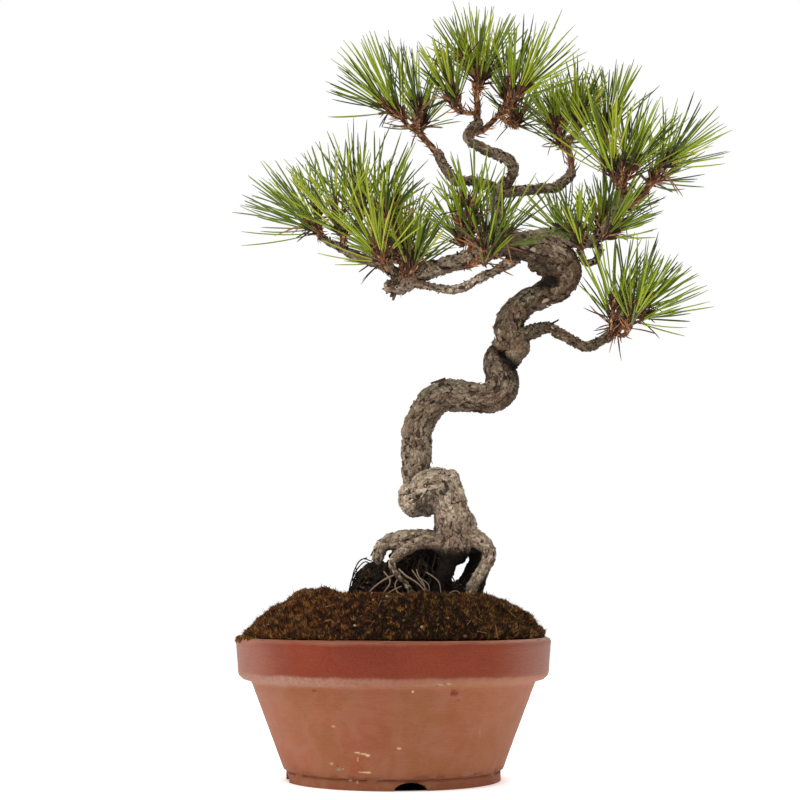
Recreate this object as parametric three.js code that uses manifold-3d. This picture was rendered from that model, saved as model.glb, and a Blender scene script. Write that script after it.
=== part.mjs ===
import * as THREE from "three";
import { mergeVertices } from "three/addons/utils/BufferGeometryUtils.js";
import Module from "manifold-3d";

// A pine bonsai in a round clay pot: a twisting trunk on arched roots, thin boughs, and brushes of
// needles that each have their own space.
// Sizes are in millimetres. The origin is the middle of the pot's flat underside, +Z is up, the
// lowest branch reaches towards +X, and the front of the tree faces -Y.

const wasm = await Module();
wasm.setup();

// Air between pieces that rest on each other.
const gap = 0.3;

const pot = {
  sides: 36,
  height: 89,
  rimRadius: 100,
  rimFootRadius: 98.4,
  rimDepth: 22,
  neckRadius: 90,
  neckHeight: 61.5,
  waistRadius: 69.4,
  footRadius: 67.6,
  footHeight: 6.6,
  wall: 7.6,
  floor: 9,
};

const drain = {
  count: 4,
  firstAngle: -81,
  notchWidth: 20,
  notchHeight: 5,
  holeDistance: 33,
  holeRadius: 6,
  reach: 80,
};

const mound = {
  sides: 36,
  topHeight: 117,
  topRadius: 58,
  centreX: 2,
  lumpHeight: 1.9,
  hump: { at: [-49, -12], size: [13, 17], height: 3.4 },
  // The ground is level where the roots come down.
  level: { at: [21, -4], size: [53, 38] },
};

// Each limb is a line of [x, y, z, radius].
const stumpRoute = [
  [37, 1, 139, 10.5], [38, 0, 145, 12.8], [39, 0, 153, 12.8], [38, -1, 164, 12],
  [36, -3, 178, 11.4], [34, -5, 188, 8.6], [33, -5, 192, 4],
];
const stemRoute = [
  [31, -2, 179, 7], [21, -1, 178, 8], [13, 2, 183, 9], [13, 9, 193, 9.4], [15, 12, 202, 9.8],
  [15, 14, 211, 10], [16, 14, 223, 9.6], [21, 13, 235, 10], [30, 11, 244, 10.3], [41, 9, 245, 10.2],
  [54, 7, 243, 9.6], [65, 5, 244, 10.2], [72, 6, 251, 10.8], [71, 8, 260, 11], [71, 8, 269, 10.8],
  [76, 3, 279, 10.6], [75, 0, 291, 9.6], [82, -1, 303, 9.2], [95, -2, 310, 9.3],
  [107, -4, 315, 9.8], [112, -8, 323, 10.2], [107, -12, 332, 10.2], [94, -13, 337, 9.8],
  [83, -12, 340, 9.2], [74, -10, 341, 8],
];
// The stump folds over to the left and down into a knuckle, and the stem climbs out behind it.
const foldRoute = [[36, -4, 178, 10.6], [30, -5, 186, 10.4], [22, -4, 185, 10.2], [14, -1, 176, 9.6]];
const stemShape = { sides: 9, steps: 46, fluting: 0.035 };
const knuckle = { at: [14, -1, 177], size: [10.5, 9.5, 12] };
const rootRoutes = [
  [[47, -2, 154, 7], [56, -4, 150, 5.4], [60.5, -6, 145, 4.5], [60.5, -7, 139, 4.1],
    [56.5, -8, 131, 3.8], [51.5, -9, 124, 3.6], [47, -9, 114, 3.4]],
  [[48, 6, 154, 5], [58, 9, 146, 4.6], [58.5, 11, 137, 4.4], [56, 12, 126, 4], [52.5, 12, 114, 3.8]],
  [[43, 3, 150, 7], [51.5, 4, 141, 5.4], [48.5, 4, 131, 4.6], [44, 3, 123, 4.4], [41, 2, 114, 4.8]],
  [[33, 2, 149, 6.5], [21, 1, 152, 5], [9, -2, 152.5, 4.3], [0, -3, 151, 4.1], [-6, -4, 147.5, 4.2],
    [-9.5, -5, 142, 4.2], [-10, -6, 135, 3.6], [-12, -7, 126, 3], [-15, -8, 114, 2.6]],
  [[32, -4, 147, 5.5], [20, -9, 149, 4.2], [11, -13, 146, 3.6], [3, -15, 140.5, 3.2],
    [-1, -16, 136, 2.3], [2, -18, 128.5, 1.5], [8, -19, 122, 1.2], [15, -20, 114, 1.2]],
  [[36, 2, 147, 9], [26, 4, 139, 7.4], [20, 5, 129, 7], [16, 6, 114, 7]],
  [[40, 0, 146, 9], [36, -3, 137, 6.8], [33.5, -5, 130, 7], [28.5, -6, 122, 6.6], [27, -7, 114, 8]],
  [[30, 4, 145, 7], [15, 6, 138, 6.4], [4, 7, 131, 6.4], [-3, 8, 114, 6]],
];
// Fine roots and the soil that they hold make low heaps under the arches.
const rootHeaps = [
  { at: [-3, -1, 114], size: [25, 17, 22] },
  { at: [-11, -2, 121], size: [11, 12, 15.5] },
  { at: [38, 1, 114], size: [10, 9, 9.5] },
];
const groundCut = { width: 300, depth: 100 };

const limbRoutes = {
  bough_left: [[77, -10, 341, 7], [67, -9, 339, 6.6], [58, -8, 336, 6.2], [46, -6, 332, 5.8],
    [33, -5, 328, 5.4], [20, -4, 323, 5], [10, -4, 318, 5.8], [2, -4, 315, 6.8],
    [-3, -4, 314, 4.4]],
  leader: [[78, -6, 341, 6], [71, 2, 354, 4.6], [68, 8, 369, 4.2], [70, 10, 381, 4],
    [76, 9, 388, 3.7], [79, 6, 394, 3.6], [77, 3, 399, 3.6], [70, 2, 403, 3.5], [61, 0, 406, 3.4],
    [53, -2, 410, 3.3], [49, -2, 414, 3.2], [51, 0, 420, 3.1], [56, 1, 425, 3]],
  bough_left_tip: [[3, -4, 321, 4], [-6, -6, 328, 3.5], [-15, -8, 330.5, 3.2], [-25, -8, 334, 2.9],
    [-35, -6, 340, 2.6], [-43, -4, 344.5, 2.3], [-49, -2, 350, 2]],
  bough_left_under: [[79, -7, 332, 4], [67, -14, 324, 3], [55, -18, 317, 2.7], [44, -19, 311, 2.6],
    [36, -18, 310, 2.5], [27, -15, 312, 2.5], [18, -9, 315, 2.5], [8, -4, 317, 2.5]],
  bough_right: [[84, -13, 343, 6], [98, -17, 345, 4.6], [107, -18, 343, 4.1], [119, -16, 341, 3.8],
    [130, -12, 344, 3.6], [138, -8, 351, 3.5], [143, -4, 360, 3.4], [148, -2, 368, 3.3],
    [153, 0, 373, 3.2]],
  bough_top_left: [[70, 10, 381, 3.6], [60, 8, 385, 3.5], [50, 6, 387, 3.4], [42, 4, 386, 3.3],
    [37, 4, 391, 3.3], [32, 5, 399, 3.1], [29, 6, 406, 3]],
  bough_top_right: [[70, 10, 380, 3.6], [84, 13, 382, 3.5], [97, 16, 384, 3.4], [107, 17, 385, 3.3],
    [115, 17, 391, 3.2], [119, 17, 396, 3]],
  bough_lower_right: [[79, -2, 283, 5.5], [91, -5, 286, 3.8], [100, -7, 287, 3.4],
    [107, -8, 283, 3.3], [116, -8, 278, 3.2], [125, -6, 275, 3.1], [134, -4, 279, 3],
    [139, -3, 282, 2.8]],
  bough_back_left: [[33, -5, 328, 3.4], [25, 12, 332, 3], [16, 26, 333, 2.7], [6, 38, 338, 2.4]],
  bough_back_centre: [[73, -2, 348, 3.4], [66, 14, 343, 3], [60, 26, 345, 2.6], [54, 34, 350, 2.4]],
  bough_back_right: [[94, -12, 338, 4], [99, 6, 350, 3.2], [109, 20, 351, 2.8],
    [119, 33, 353, 2.5], [126, 40, 358, 2.3]],
  twig_right: [[119, -16, 341, 2], [121, -14, 334, 2], [124, -10, 329, 2], [130, -11, 330, 1.9],
    [133, -12, 335, 1.8], [133, -11, 340, 1.7]],
};

// A brush of needles stands on the end of each shoot. Its line is the foot of the brush, the way
// it points, and the length of its needles, which lean from the narrow angle to the wide one.
const brush = {
  seed: 701,
  needles: 13,
  needleRadius: 1.05,
  needleWidest: 0.3,
  shortest: 0.9,
  footRadius: 1.4,
  footLength: 12,
  narrow: 12,
  wide: 59,
  widening: 0.8,
  lift: 0.12,
};
const twig = { radius: 1.25, waist: 1.15, endRadius: 0.7, endLength: 3, sway: 0.16 };

// Each mass grows from one stem, and its twigs leave that stem for their brushes.
const masses = {
  needles_left_outer: {
    stem: [[-47, -2, 348, 2], [-53, 1, 354, 1.9], [-55, 4, 358, 1.8]],
    brushes: [[[-57, -8, 354], [-0.88, -0.14, 0.47], 52], [[-57, 14, 364], [-0.72, 0.25, 0.65], 50]],
  },
  needles_left_middle: {
    stem: [[-33, -6, 338, 2], [-33, -4, 346, 1.9], [-30, 4, 356, 1.8]],
    brushes: [[[-38, -22, 354], [-0.5, -0.25, 0.83], 59], [[-25, 16, 374], [-0.25, 0.25, 0.95], 61]],
  },
  needles_left_inner: {
    stem: [[-9, -6, 328, 2.2], [-11, -8, 342, 2], [-12, -7, 354, 1.8]],
    brushes: [
      [[-12, -6, 365], [0, 0.12, 1], 56], [[-4, -30, 362], [0.12, -0.35, 0.93], 38],
      [[-13, -38, 334], [-0.55, -0.4, 0.75], 54],
    ],
  },
  needles_left_low: {
    stem: [[3, -4, 320, 2.4], [6, -6, 329, 2], [6, 2, 338, 1.8]],
    brushes: [
      [[16, -26, 330], [0.42, -0.35, 0.85], 37], [[6, 10, 350], [0.15, 0.25, 0.95], 47],
      [[-7, 26, 343], [-0.15, 0.5, 0.85], 42],
    ],
  },
  needles_back_left: {
    stem: [[8, 36, 337, 2], [2, 44, 341, 1.9], [0, 47, 344, 1.7]],
    brushes: [[[-10, 50, 347], [-0.5, 0.6, 0.6], 50], [[12, 54, 350], [0.15, 0.65, 0.75], 46]],
  },
  needles_centre: {
    stem: [[49, -8, 333, 2], [50, -17, 343, 1.9], [51, -22, 350, 1.8]],
    brushes: [[[52, -25, 359], [0, -0.2, 0.97], 50], [[42, -30, 352], [-0.5, -0.4, 0.75], 40]],
  },
  needles_centre_low: {
    stem: [[46, -9, 327, 2], [50, -22, 325, 1.9], [58, -31, 331, 1.8]],
    brushes: [[[66, -36, 340], [0.45, -0.35, 0.82], 52], [[60, -42, 331], [0.2, -0.75, 0.6], 40]],
  },
  needles_back_centre: {
    stem: [[55, 33, 349, 2], [53, 39, 354, 1.9], [52, 42, 357, 1.7]],
    brushes: [[[44, 48, 360], [-0.12, 0.6, 0.76], 44], [[64, 50, 363], [0.2, 0.6, 0.77], 46]],
  },
  needles_top_left: {
    stem: [[30, 6, 404, 2.4], [22, 5, 413, 2.2], [12, 5, 424, 1.9]],
    brushes: [
      [[-1, -4, 435], [-0.62, -0.1, 0.78], 57], [[15, 18, 444], [-0.12, 0.25, 0.95], 54],
      [[20, 38, 438], [0, 0.7, 0.7], 42],
    ],
  },
  needles_apex: {
    stem: [[55, 1, 424, 2.4], [55, -1, 438, 2.2], [53, -4, 450, 1.9]],
    brushes: [
      [[53, -7, 459], [-0.25, -0.15, 0.95], 47], [[62, 14, 466], [0.25, 0.2, 0.94], 45],
      [[36, -22, 440], [-0.3, -0.3, 0.9], 40],
    ],
  },
  needles_apex_right: {
    stem: [[50, 0, 416, 2.2], [61, 6, 423, 2.1], [73, 8, 436, 1.9]],
    brushes: [
      [[77, 28, 457], [0.1, 0.3, 0.95], 46], [[85, -18, 444], [0.6, -0.25, 0.76], 52],
      [[86, 48, 442], [0.2, 0.65, 0.73], 42],
    ],
  },
  needles_right_upper: {
    stem: [[118.5, 17, 394.5, 2.4], [118, 18, 406, 2.2], [115, 19, 418, 1.9]],
    brushes: [
      [[108, 28, 435], [-0.12, 0.35, 0.93], 39], [[122, 6, 433], [0.05, -0.2, 1], 40],
      [[114, 46, 428], [0.1, 0.7, 0.7], 44],
    ],
  },
  needles_right_crown: {
    stem: [[152.5, 0, 372.5, 2.4], [151, 4, 386, 2.2], [147, 12, 406, 1.9]],
    brushes: [
      [[145, 24, 434], [0.25, 0.1, 0.96], 47], [[137, -24, 392], [-0.4, -0.3, 0.86], 58],
      [[156, -10, 395], [0.4, -0.2, 0.88], 50],
    ],
  },
  needles_right_outer: {
    stem: [[145, -3, 363, 2.2], [162, 2, 375, 2.1], [174, 5, 391, 1.9]],
    brushes: [[[184, 5, 403], [0.7, 0.05, 0.7], 49], [[176, 28, 397], [0.5, 0.6, 0.62], 46]],
  },
  needles_right_inner: {
    stem: [[118, -17, 342, 1.9], [117, -24, 342, 1.8], [117, -28, 343, 1.7]],
    brushes: [[[116, -34, 345], [-0.3, -0.4, 0.85], 34]],
  },
  needles_right_low: {
    stem: [[137, -9, 349.5, 1.9], [140, -18, 348, 1.8], [141, -22, 348, 1.7]],
    brushes: [[[143, -28, 349], [0.75, -0.35, 0.55], 38]],
  },
  needles_back_right: {
    stem: [[125, 39, 357, 2], [129, 44, 362, 1.9], [131, 46, 365, 1.7]],
    brushes: [
      [[139, 34, 364], [0.1, 0.2, 0.97], 38], [[148, 52, 372], [0.35, 0.6, 0.7], 48],
      [[114, 56, 366], [-0.3, 0.65, 0.68], 46],
    ],
  },
  needles_lower_right: {
    stem: [[138, -3, 281.5, 2.4], [145, 0, 286, 2.2], [151, 2, 293, 1.9]],
    brushes: [
      [[142, -14, 304], [0.15, -0.15, 0.97], 51], [[164, -4, 297], [0.95, -0.05, 0.3], 48],
      [[161, 14, 307], [0.5, 0.2, 0.84], 53], [[148, 30, 297], [0.1, 0.75, 0.62], 48],
      [[154, -28, 294], [0.3, -0.6, 0.74], 44],
    ],
  },
};

const finishes = {
  clay: { color: 0x9a4a33, roughness: 0.7, metalness: 0 },
  soil: { color: 0x33240f, roughness: 0.95, metalness: 0 },
  bark: { color: 0x6f655a, roughness: 0.9, metalness: 0 },
  needle: { color: 0x6f9a2a, roughness: 0.55, metalness: 0 },
};

// The same seed always gives the same run of numbers from 0 to 1.
function randomSource(seed) {
  let state = seed >>> 0;
  return () => {
    state = (state + 0x6d2b79f5) >>> 0;
    let mixed = Math.imul(state ^ (state >>> 15), 1 | state);
    mixed = (mixed + Math.imul(mixed ^ (mixed >>> 7), 61 | mixed)) ^ mixed;
    return ((mixed ^ (mixed >>> 14)) >>> 0) / 4294967296;
  };
}

function point([x, y, z]) {
  return new THREE.Vector3(x, y, z);
}

// A closed geometry becomes a solid that can be joined and cut.
function solidOf(geometry) {
  const bare = geometry.clone();
  bare.deleteAttribute("normal");
  bare.deleteAttribute("uv");
  const merged = mergeVertices(bare, 1e-4);
  const corners = merged.index.array;
  const kept = [];
  for (let i = 0; i < corners.length; i += 3) {
    const [a, b, c] = corners.slice(i, i + 3);
    if (a !== b && b !== c && c !== a) kept.push(a, b, c);
  }
  return new wasm.Manifold(
    new wasm.Mesh({
      numProp: 3,
      vertProperties: merged.attributes.position.array,
      triVerts: new Uint32Array(kept),
    }),
  );
}

function geometryOf(solid) {
  const { vertProperties, triVerts } = solid.getMesh();
  const geometry = new THREE.BufferGeometry();
  geometry.setAttribute("position", new THREE.BufferAttribute(vertProperties, 3));
  geometry.setIndex(new THREE.BufferAttribute(triVerts, 1));
  return geometry;
}

function join(solids) {
  return solids.reduce((whole, piece) => whole.add(piece));
}

// Fusing can leave a scrap or seal a hollow: only the main outer skin is kept.
function mainBody(solid) {
  const bodies = solid.decompose();
  return bodies.reduce((best, body) => (body.volume() > best.volume() ? body : best));
}

function curveThrough(route) {
  return new THREE.CatmullRomCurve3(route.map(point), false, "centripetal");
}

// The radius between two points of a route changes evenly.
function radiusAt(route, curve, share) {
  const along = curve.getUtoTmapping(share) * (route.length - 1);
  const before = Math.min(Math.floor(along), route.length - 2);
  return THREE.MathUtils.lerp(route[before][3], route[before + 1][3], along - before);
}

// A longer copy of a route, used to cut a neighbour clear of its ends too.
function stretched(route, extra) {
  const moved = (from, towards) => {
    const end = point(from);
    end.add(end.clone().sub(point(towards)).setLength(extra));
    return [end.x, end.y, end.z, from[3]];
  };
  const last = route.length - 1;
  return [moved(route[0], route[1]), ...route.slice(1, last), moved(route[last], route[last - 1])];
}

// A tapering limb: a cylinder of unit radius bent along the route. Fluting makes its section
// uneven, as wood is, and its corners stand a little outside the round limb, to keep its width.
function limb(route, { sides = 6, steps = Math.round(route.length * 1.4), grow = 0, fluting = 0 } = {}) {
  const path = grow > 0 ? stretched(route, grow) : route;
  const curve = curveThrough(path);
  const frames = curve.computeFrenetFrames(steps);
  const tube = new THREE.CylinderGeometry(1, 1, 1, sides, steps);
  const positions = tube.attributes.position;
  const corner = 0.5 + 0.5 / Math.cos(Math.PI / sides);
  for (let i = 0; i < positions.count; i += 1) {
    const step = Math.round((0.5 - positions.getY(i)) * steps);
    const share = step / steps;
    const angle = Math.atan2(positions.getZ(i), positions.getX(i));
    const swell = 1 + fluting * (Math.sin(2 * angle + 9 * share) + 0.7 * Math.sin(3 * angle - 17 * share));
    const radius = (radiusAt(path, curve, share) * corner + grow) * swell;
    const place = curve.getPointAt(share);
    place.addScaledVector(frames.normals[step], positions.getX(i) * radius);
    place.addScaledVector(frames.binormals[step], positions.getZ(i) * radius);
    positions.setXYZ(i, place.x, place.y, place.z);
  }
  return solidOf(tube);
}

// Lines with a radius stand for the finished limbs and needles, to test what a new needle is near.
const obstacles = [];

function addObstacle(owner, from, to, radius) {
  obstacles.push({ owner, line: new THREE.Line3(from, to), radius });
}

function addLimbObstacles(owner, route) {
  const curve = curveThrough(route);
  const steps = route.length * 2;
  for (let step = 0; step < steps; step += 1) {
    const from = curve.getPointAt(step / steps);
    const to = curve.getPointAt((step + 1) / steps);
    addObstacle(owner, from, to, radiusAt(route, curve, (step + 0.5) / steps));
  }
}

function isClear(owner, line, radius) {
  return obstacles.every((other) => {
    if (other.owner === owner) return true;
    const apart = Math.sqrt(line.distanceSqToLine3(other.line, new THREE.Vector3(), new THREE.Vector3()));
    return apart > other.radius + radius + gap;
  });
}

function buildPot() {
  const innerTop = pot.rimRadius - pot.wall;
  const innerFoot = pot.waistRadius - pot.wall;
  const outline = [
    [0, 0],
    [pot.footRadius - 1, 0],
    [pot.footRadius, 1],
    [pot.footRadius, pot.footHeight],
    [pot.waistRadius, pot.footHeight + 1],
    [pot.neckRadius, pot.neckHeight],
    [pot.rimFootRadius - 3, pot.height - pot.rimDepth - 3.8],
    [pot.rimFootRadius - 0.6, pot.height - pot.rimDepth - 1.6],
    [pot.rimFootRadius, pot.height - pot.rimDepth],
    [pot.rimRadius, pot.height - 3],
    [pot.rimRadius - 0.7, pot.height - 1],
    [pot.rimRadius - 2.5, pot.height],
    [innerTop + 1.5, pot.height],
    [innerTop, pot.height - 2],
    [innerFoot, pot.floor + 3],
    [innerFoot - 4, pot.floor],
    [0, pot.floor],
  ];
  const profile = outline.map(([radius, height]) => new THREE.Vector2(radius, height));
  const shell = new THREE.LatheGeometry(profile, pot.sides);
  shell.rotateX(Math.PI / 2);
  let body = solidOf(shell);
  for (let i = 0; i < drain.count; i += 1) {
    const angle = THREE.MathUtils.degToRad(drain.firstAngle + (i * 360) / drain.count);
    body = body.subtract(drainNotch(angle)).subtract(drainHole(angle));
  }
  return mainBody(body);
}

// An arch runs in under the foot to each drain hole, so that water finds its way out.
function drainNotch(angle) {
  const arch = new THREE.Shape();
  arch.moveTo(-drain.notchWidth / 2, -1);
  arch.lineTo(drain.notchWidth / 2, -1);
  arch.absellipse(0, 0, drain.notchWidth / 2, drain.notchHeight, 0, Math.PI, false);
  const notch = new THREE.ExtrudeGeometry(arch, {
    depth: drain.reach - drain.holeDistance,
    bevelEnabled: false,
    curveSegments: 8,
  });
  notch.translate(0, 0, drain.holeDistance);
  notch.rotateX(Math.PI / 2);
  notch.rotateZ(angle + Math.PI / 2);
  return solidOf(notch);
}

function drainHole(angle) {
  const hole = new THREE.CylinderGeometry(drain.holeRadius, drain.holeRadius, 3 * pot.floor, 12);
  hole.rotateX(Math.PI / 2);
  hole.translate(drain.holeDistance * Math.cos(angle), drain.holeDistance * Math.sin(angle), 0);
  return solidOf(hole);
}

// Moss swells the ground into cushions about 32 mm apart, and leaves it level round the roots.
function lumpAt(x, y) {
  const reach = ({ at, size }) => Math.hypot((x - at[0]) / size[0], (y - at[1]) / size[1]);
  const hump = mound.hump.height * Math.exp(-(reach(mound.hump) ** 2));
  const waves = Math.sin(0.2 * x + 1) * Math.cos(0.19 * y + 0.4) + 0.5 * Math.sin(0.11 * x - 0.17 * y + 2);
  return (mound.lumpHeight * waves + hump) * THREE.MathUtils.smoothstep(reach(mound.level), 1, 1.3);
}

// The soil fills the pot and rises over its rim in a low mound.
function buildMound() {
  const inner = pot.rimRadius - pot.wall - gap;
  const innerFoot = pot.waistRadius - pot.wall - gap;
  const outline = [
    [0, pot.floor + gap],
    [innerFoot - 4.3, pot.floor + gap],
    [innerFoot, pot.floor + 3 + gap],
    [inner, pot.height - 2],
    [inner, pot.height + gap],
    [inner + 1.8, pot.height + 1.4],
    [inner + 0.6, 96],
    [85.5, 102.5],
    [77, 108.5],
    [68, 113.5],
    [mound.topRadius, mound.topHeight],
    [mound.topRadius - 12, mound.topHeight],
    [mound.topRadius - 24, mound.topHeight],
    [0, mound.topHeight],
  ];
  const profile = outline.map(([radius, height]) => new THREE.Vector2(radius, height));
  const heap = new THREE.LatheGeometry(profile, mound.sides);
  heap.rotateX(Math.PI / 2);
  const positions = heap.attributes.position;
  for (let i = 0; i < positions.count; i += 1) {
    const [x, y, z] = [positions.getX(i), positions.getY(i), positions.getZ(i)];
    const rise = THREE.MathUtils.clamp((z - pot.height - 1) / (mound.topHeight - pot.height - 1), 0, 1);
    positions.setX(i, x + mound.centreX * Math.sqrt(rise));
    positions.setZ(i, z + Math.min(1, 4 * rise) * lumpAt(x, y));
  }
  return solidOf(heap);
}

function buildTrunk() {
  const stump = limb(stumpRoute, { sides: 11, steps: 12, fluting: 0.05 });
  const stem = limb(stemRoute, stemShape);
  const fold = limb(foldRoute, { sides: 8, steps: 5, fluting: 0.04 });
  const bump = new THREE.SphereGeometry(1, 8, 6);
  bump.scale(...knuckle.size);
  bump.translate(...knuckle.at);
  const roots = rootRoutes.map((route) => limb(route, { sides: 6, steps: route.length - 1 }));
  const heaps = rootHeaps.map(({ at, size }) => {
    const heap = new THREE.SphereGeometry(1, 10, 7);
    heap.scale(...size);
    heap.translate(...at);
    return solidOf(heap);
  });
  const wood = join([stump, fold, stem, solidOf(bump), ...heaps, ...roots]);
  const ground = new THREE.BoxGeometry(groundCut.width, groundCut.width, groundCut.depth);
  ground.translate(0, 0, mound.topHeight + gap - groundCut.depth / 2);
  return mainBody(wood.subtract(solidOf(ground)));
}

// Every limb is cut clear of those that carry it, so that it ends just off their bark.
function buildLimbs() {
  const cutters = [limb(stemRoute, { ...stemShape, grow: gap })];
  const limbs = {};
  for (const [name, route] of Object.entries(limbRoutes)) {
    const whole = limb(route);
    limbs[name] = mainBody(cutters.reduce((left, cutter) => left.subtract(cutter), whole));
    cutters.push(limb(route, { grow: gap }));
    addLimbObstacles(name, route);
  }
  return { limbs, cutters };
}

// A twig leaves the stem below its brush, bends a little, and runs on as the brush's foot.
function twigRoute(stem, [foot, aim], random) {
  const at = point(foot);
  const way = point(aim).normalize();
  const heel = at.clone().addScaledVector(way, -brush.footLength);
  const curve = curveThrough(stem);
  const places = curve.getPoints(12).slice(2, 11);
  const nearer = (best, place) => (place.distanceTo(heel) < best.distanceTo(heel) ? place : best);
  const start = places.reduce(nearer);
  const bend = start.clone().lerp(heel, 0.5);
  const sideways = twig.sway * start.distanceTo(heel);
  bend.add(new THREE.Vector3(random() - 0.5, random() - 0.5, -random()).multiplyScalar(sideways));
  const end = at.clone().addScaledVector(way, twig.endLength);
  const radii = [twig.radius, twig.waist, twig.radius, brush.footRadius, twig.endRadius];
  return [start, bend, heel, at, end].map(({ x, y, z }, i) => [x, y, z, radii[i]]);
}

// The needles of a brush turn by the golden angle from one to the next, from a narrow cone at the
// tip to a wide one at the foot.
function needleLines([foot, aim, length], random) {
  const at = point(foot);
  const way = point(aim).normalize();
  const across = new THREE.Vector3(0.3, 1, 0.2).cross(way).normalize();
  const goldenAngle = Math.PI * (3 - Math.sqrt(5));
  const lines = [];
  for (let i = 0; i < brush.needles; i += 1) {
    const share = (i + 0.5) / brush.needles;
    const degrees = THREE.MathUtils.lerp(brush.narrow, brush.wide, share ** brush.widening);
    const lean = THREE.MathUtils.degToRad(degrees);
    const side = across.clone().applyAxisAngle(way, goldenAngle * i + 6 * random());
    const direction = way.clone().multiplyScalar(Math.cos(lean)).addScaledVector(side, Math.sin(lean));
    direction.z += brush.lift;
    direction.normalize();
    const root = at.clone().addScaledVector(way, -brush.footLength * share);
    root.addScaledVector(side, 0.6 * brush.footRadius);
    const reach = length * THREE.MathUtils.lerp(brush.shortest, 1, random());
    const tip = root.clone().addScaledVector(direction, reach);
    lines.push(new THREE.Line3(root, tip));
  }
  return lines;
}

// A needle is a slim three-sided spike.
function needle(line) {
  const length = line.distance();
  const profile = [
    new THREE.Vector2(0, 0),
    new THREE.Vector2(brush.needleRadius, brush.needleWidest * length),
    new THREE.Vector2(0, length),
  ];
  const blade = new THREE.LatheGeometry(profile, 3);
  const direction = line.delta(new THREE.Vector3()).normalize();
  const turn = new THREE.Quaternion().setFromUnitVectors(new THREE.Vector3(0, 1, 0), direction);
  blade.applyQuaternion(turn);
  blade.translate(line.start.x, line.start.y, line.start.z);
  return solidOf(blade);
}

// Twigs come first for every mass, because no needle may touch another mass's twig.
function buildMasses(cutters) {
  const grown = Object.entries(masses).map(([name, { stem, brushes }], index) => {
    const random = randomSource(brush.seed + index);
    const routes = [stem, ...brushes.map((one) => twigRoute(stem, one, random))];
    routes.forEach((route) => addLimbObstacles(name, route));
    return { name, brushes, random, routes };
  });
  return grown.map(({ name, brushes, random, routes }) => {
    const [stem, ...twigs] = routes;
    const pieces = [limb(stem, { sides: 5, steps: 3 })];
    pieces.push(...twigs.map((route) => limb(route, { sides: 3, steps: 4 })));
    for (const line of brushes.flatMap((one) => needleLines(one, random))) {
      if (!isClear(name, line, brush.needleRadius)) continue;
      addObstacle(name, line.start, line.end, brush.needleRadius);
      pieces.push(needle(line));
    }
    const mass = cutters.reduce((left, cutter) => left.subtract(cutter), join(pieces));
    return { name, solid: mainBody(mass) };
  });
}

function add(group, name, solid, finish) {
  const mesh = new THREE.Mesh(geometryOf(solid), new THREE.MeshStandardMaterial(finish));
  mesh.name = name;
  group.add(mesh);
}

const bonsai = new THREE.Group();
add(bonsai, "pot", buildPot(), finishes.clay);
add(bonsai, "soil_mound", buildMound(), finishes.soil);
add(bonsai, "trunk", buildTrunk(), finishes.bark);

const { limbs, cutters } = buildLimbs();
addLimbObstacles("trunk", stemRoute);
addLimbObstacles("trunk", stumpRoute);
const wood = new THREE.Group();
for (const [name, solid] of Object.entries(limbs)) add(wood, name, solid, finishes.bark);

const foliage = new THREE.Group();
for (const { name, solid } of buildMasses(cutters)) add(foliage, name, solid, finishes.needle);
bonsai.add(wood, foliage);

export default bonsai;
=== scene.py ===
# %% [markdown]
# # A pine bonsai in a clay pot
#
# The real thing is a small two-needled pine, bent by years of training, on roots that arch out of a
# mossy mound of soil in a round unglazed pot. The solids that the frame brings are plain: they give
# every piece its place and size. This script dresses them. Each cell makes one piece or one finish,
# and the cell of text before it says what the piece is and why it is made this way.

# %% Load the frame
import math

import bmesh
import bpy
import numpy as np
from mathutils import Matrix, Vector, noise
from mathutils.bvhtree import BVHTree
from mathutils.kdtree import KDTree


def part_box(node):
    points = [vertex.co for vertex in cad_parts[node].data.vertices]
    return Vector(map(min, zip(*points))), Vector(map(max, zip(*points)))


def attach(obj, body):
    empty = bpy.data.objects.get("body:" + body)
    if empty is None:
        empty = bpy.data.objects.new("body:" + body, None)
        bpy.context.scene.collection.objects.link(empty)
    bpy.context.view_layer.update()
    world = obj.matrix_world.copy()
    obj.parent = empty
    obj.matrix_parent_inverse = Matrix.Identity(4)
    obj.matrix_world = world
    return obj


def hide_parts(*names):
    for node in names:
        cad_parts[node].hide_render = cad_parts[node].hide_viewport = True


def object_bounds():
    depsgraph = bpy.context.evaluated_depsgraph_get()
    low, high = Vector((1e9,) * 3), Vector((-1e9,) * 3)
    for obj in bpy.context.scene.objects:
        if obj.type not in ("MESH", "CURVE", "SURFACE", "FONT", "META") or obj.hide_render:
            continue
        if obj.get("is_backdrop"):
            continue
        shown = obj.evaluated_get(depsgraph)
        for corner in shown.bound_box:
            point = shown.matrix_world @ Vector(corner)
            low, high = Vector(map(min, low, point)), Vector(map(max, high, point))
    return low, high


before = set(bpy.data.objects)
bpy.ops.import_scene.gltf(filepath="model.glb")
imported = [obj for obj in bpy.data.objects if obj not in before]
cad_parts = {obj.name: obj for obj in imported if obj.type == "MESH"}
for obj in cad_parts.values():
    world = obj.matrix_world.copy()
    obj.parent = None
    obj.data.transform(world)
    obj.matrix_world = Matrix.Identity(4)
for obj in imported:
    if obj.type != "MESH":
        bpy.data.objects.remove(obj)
cad_low, cad_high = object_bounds()
MM = 0.001
print("the frame has", len(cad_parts), "nodes and is", round(cad_high.z - cad_low.z, 3), "m high")

# %% [markdown]
# ## The camera
#
# The photographer stood a little over a metre away with a long lens, held just above the rim of the
# pot and tipped up towards the crown. A long lens keeps the ellipse of the rim flat. The numbers come
# from the pot itself: how wide its rim and foot look, and how far apart they stand.

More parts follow.
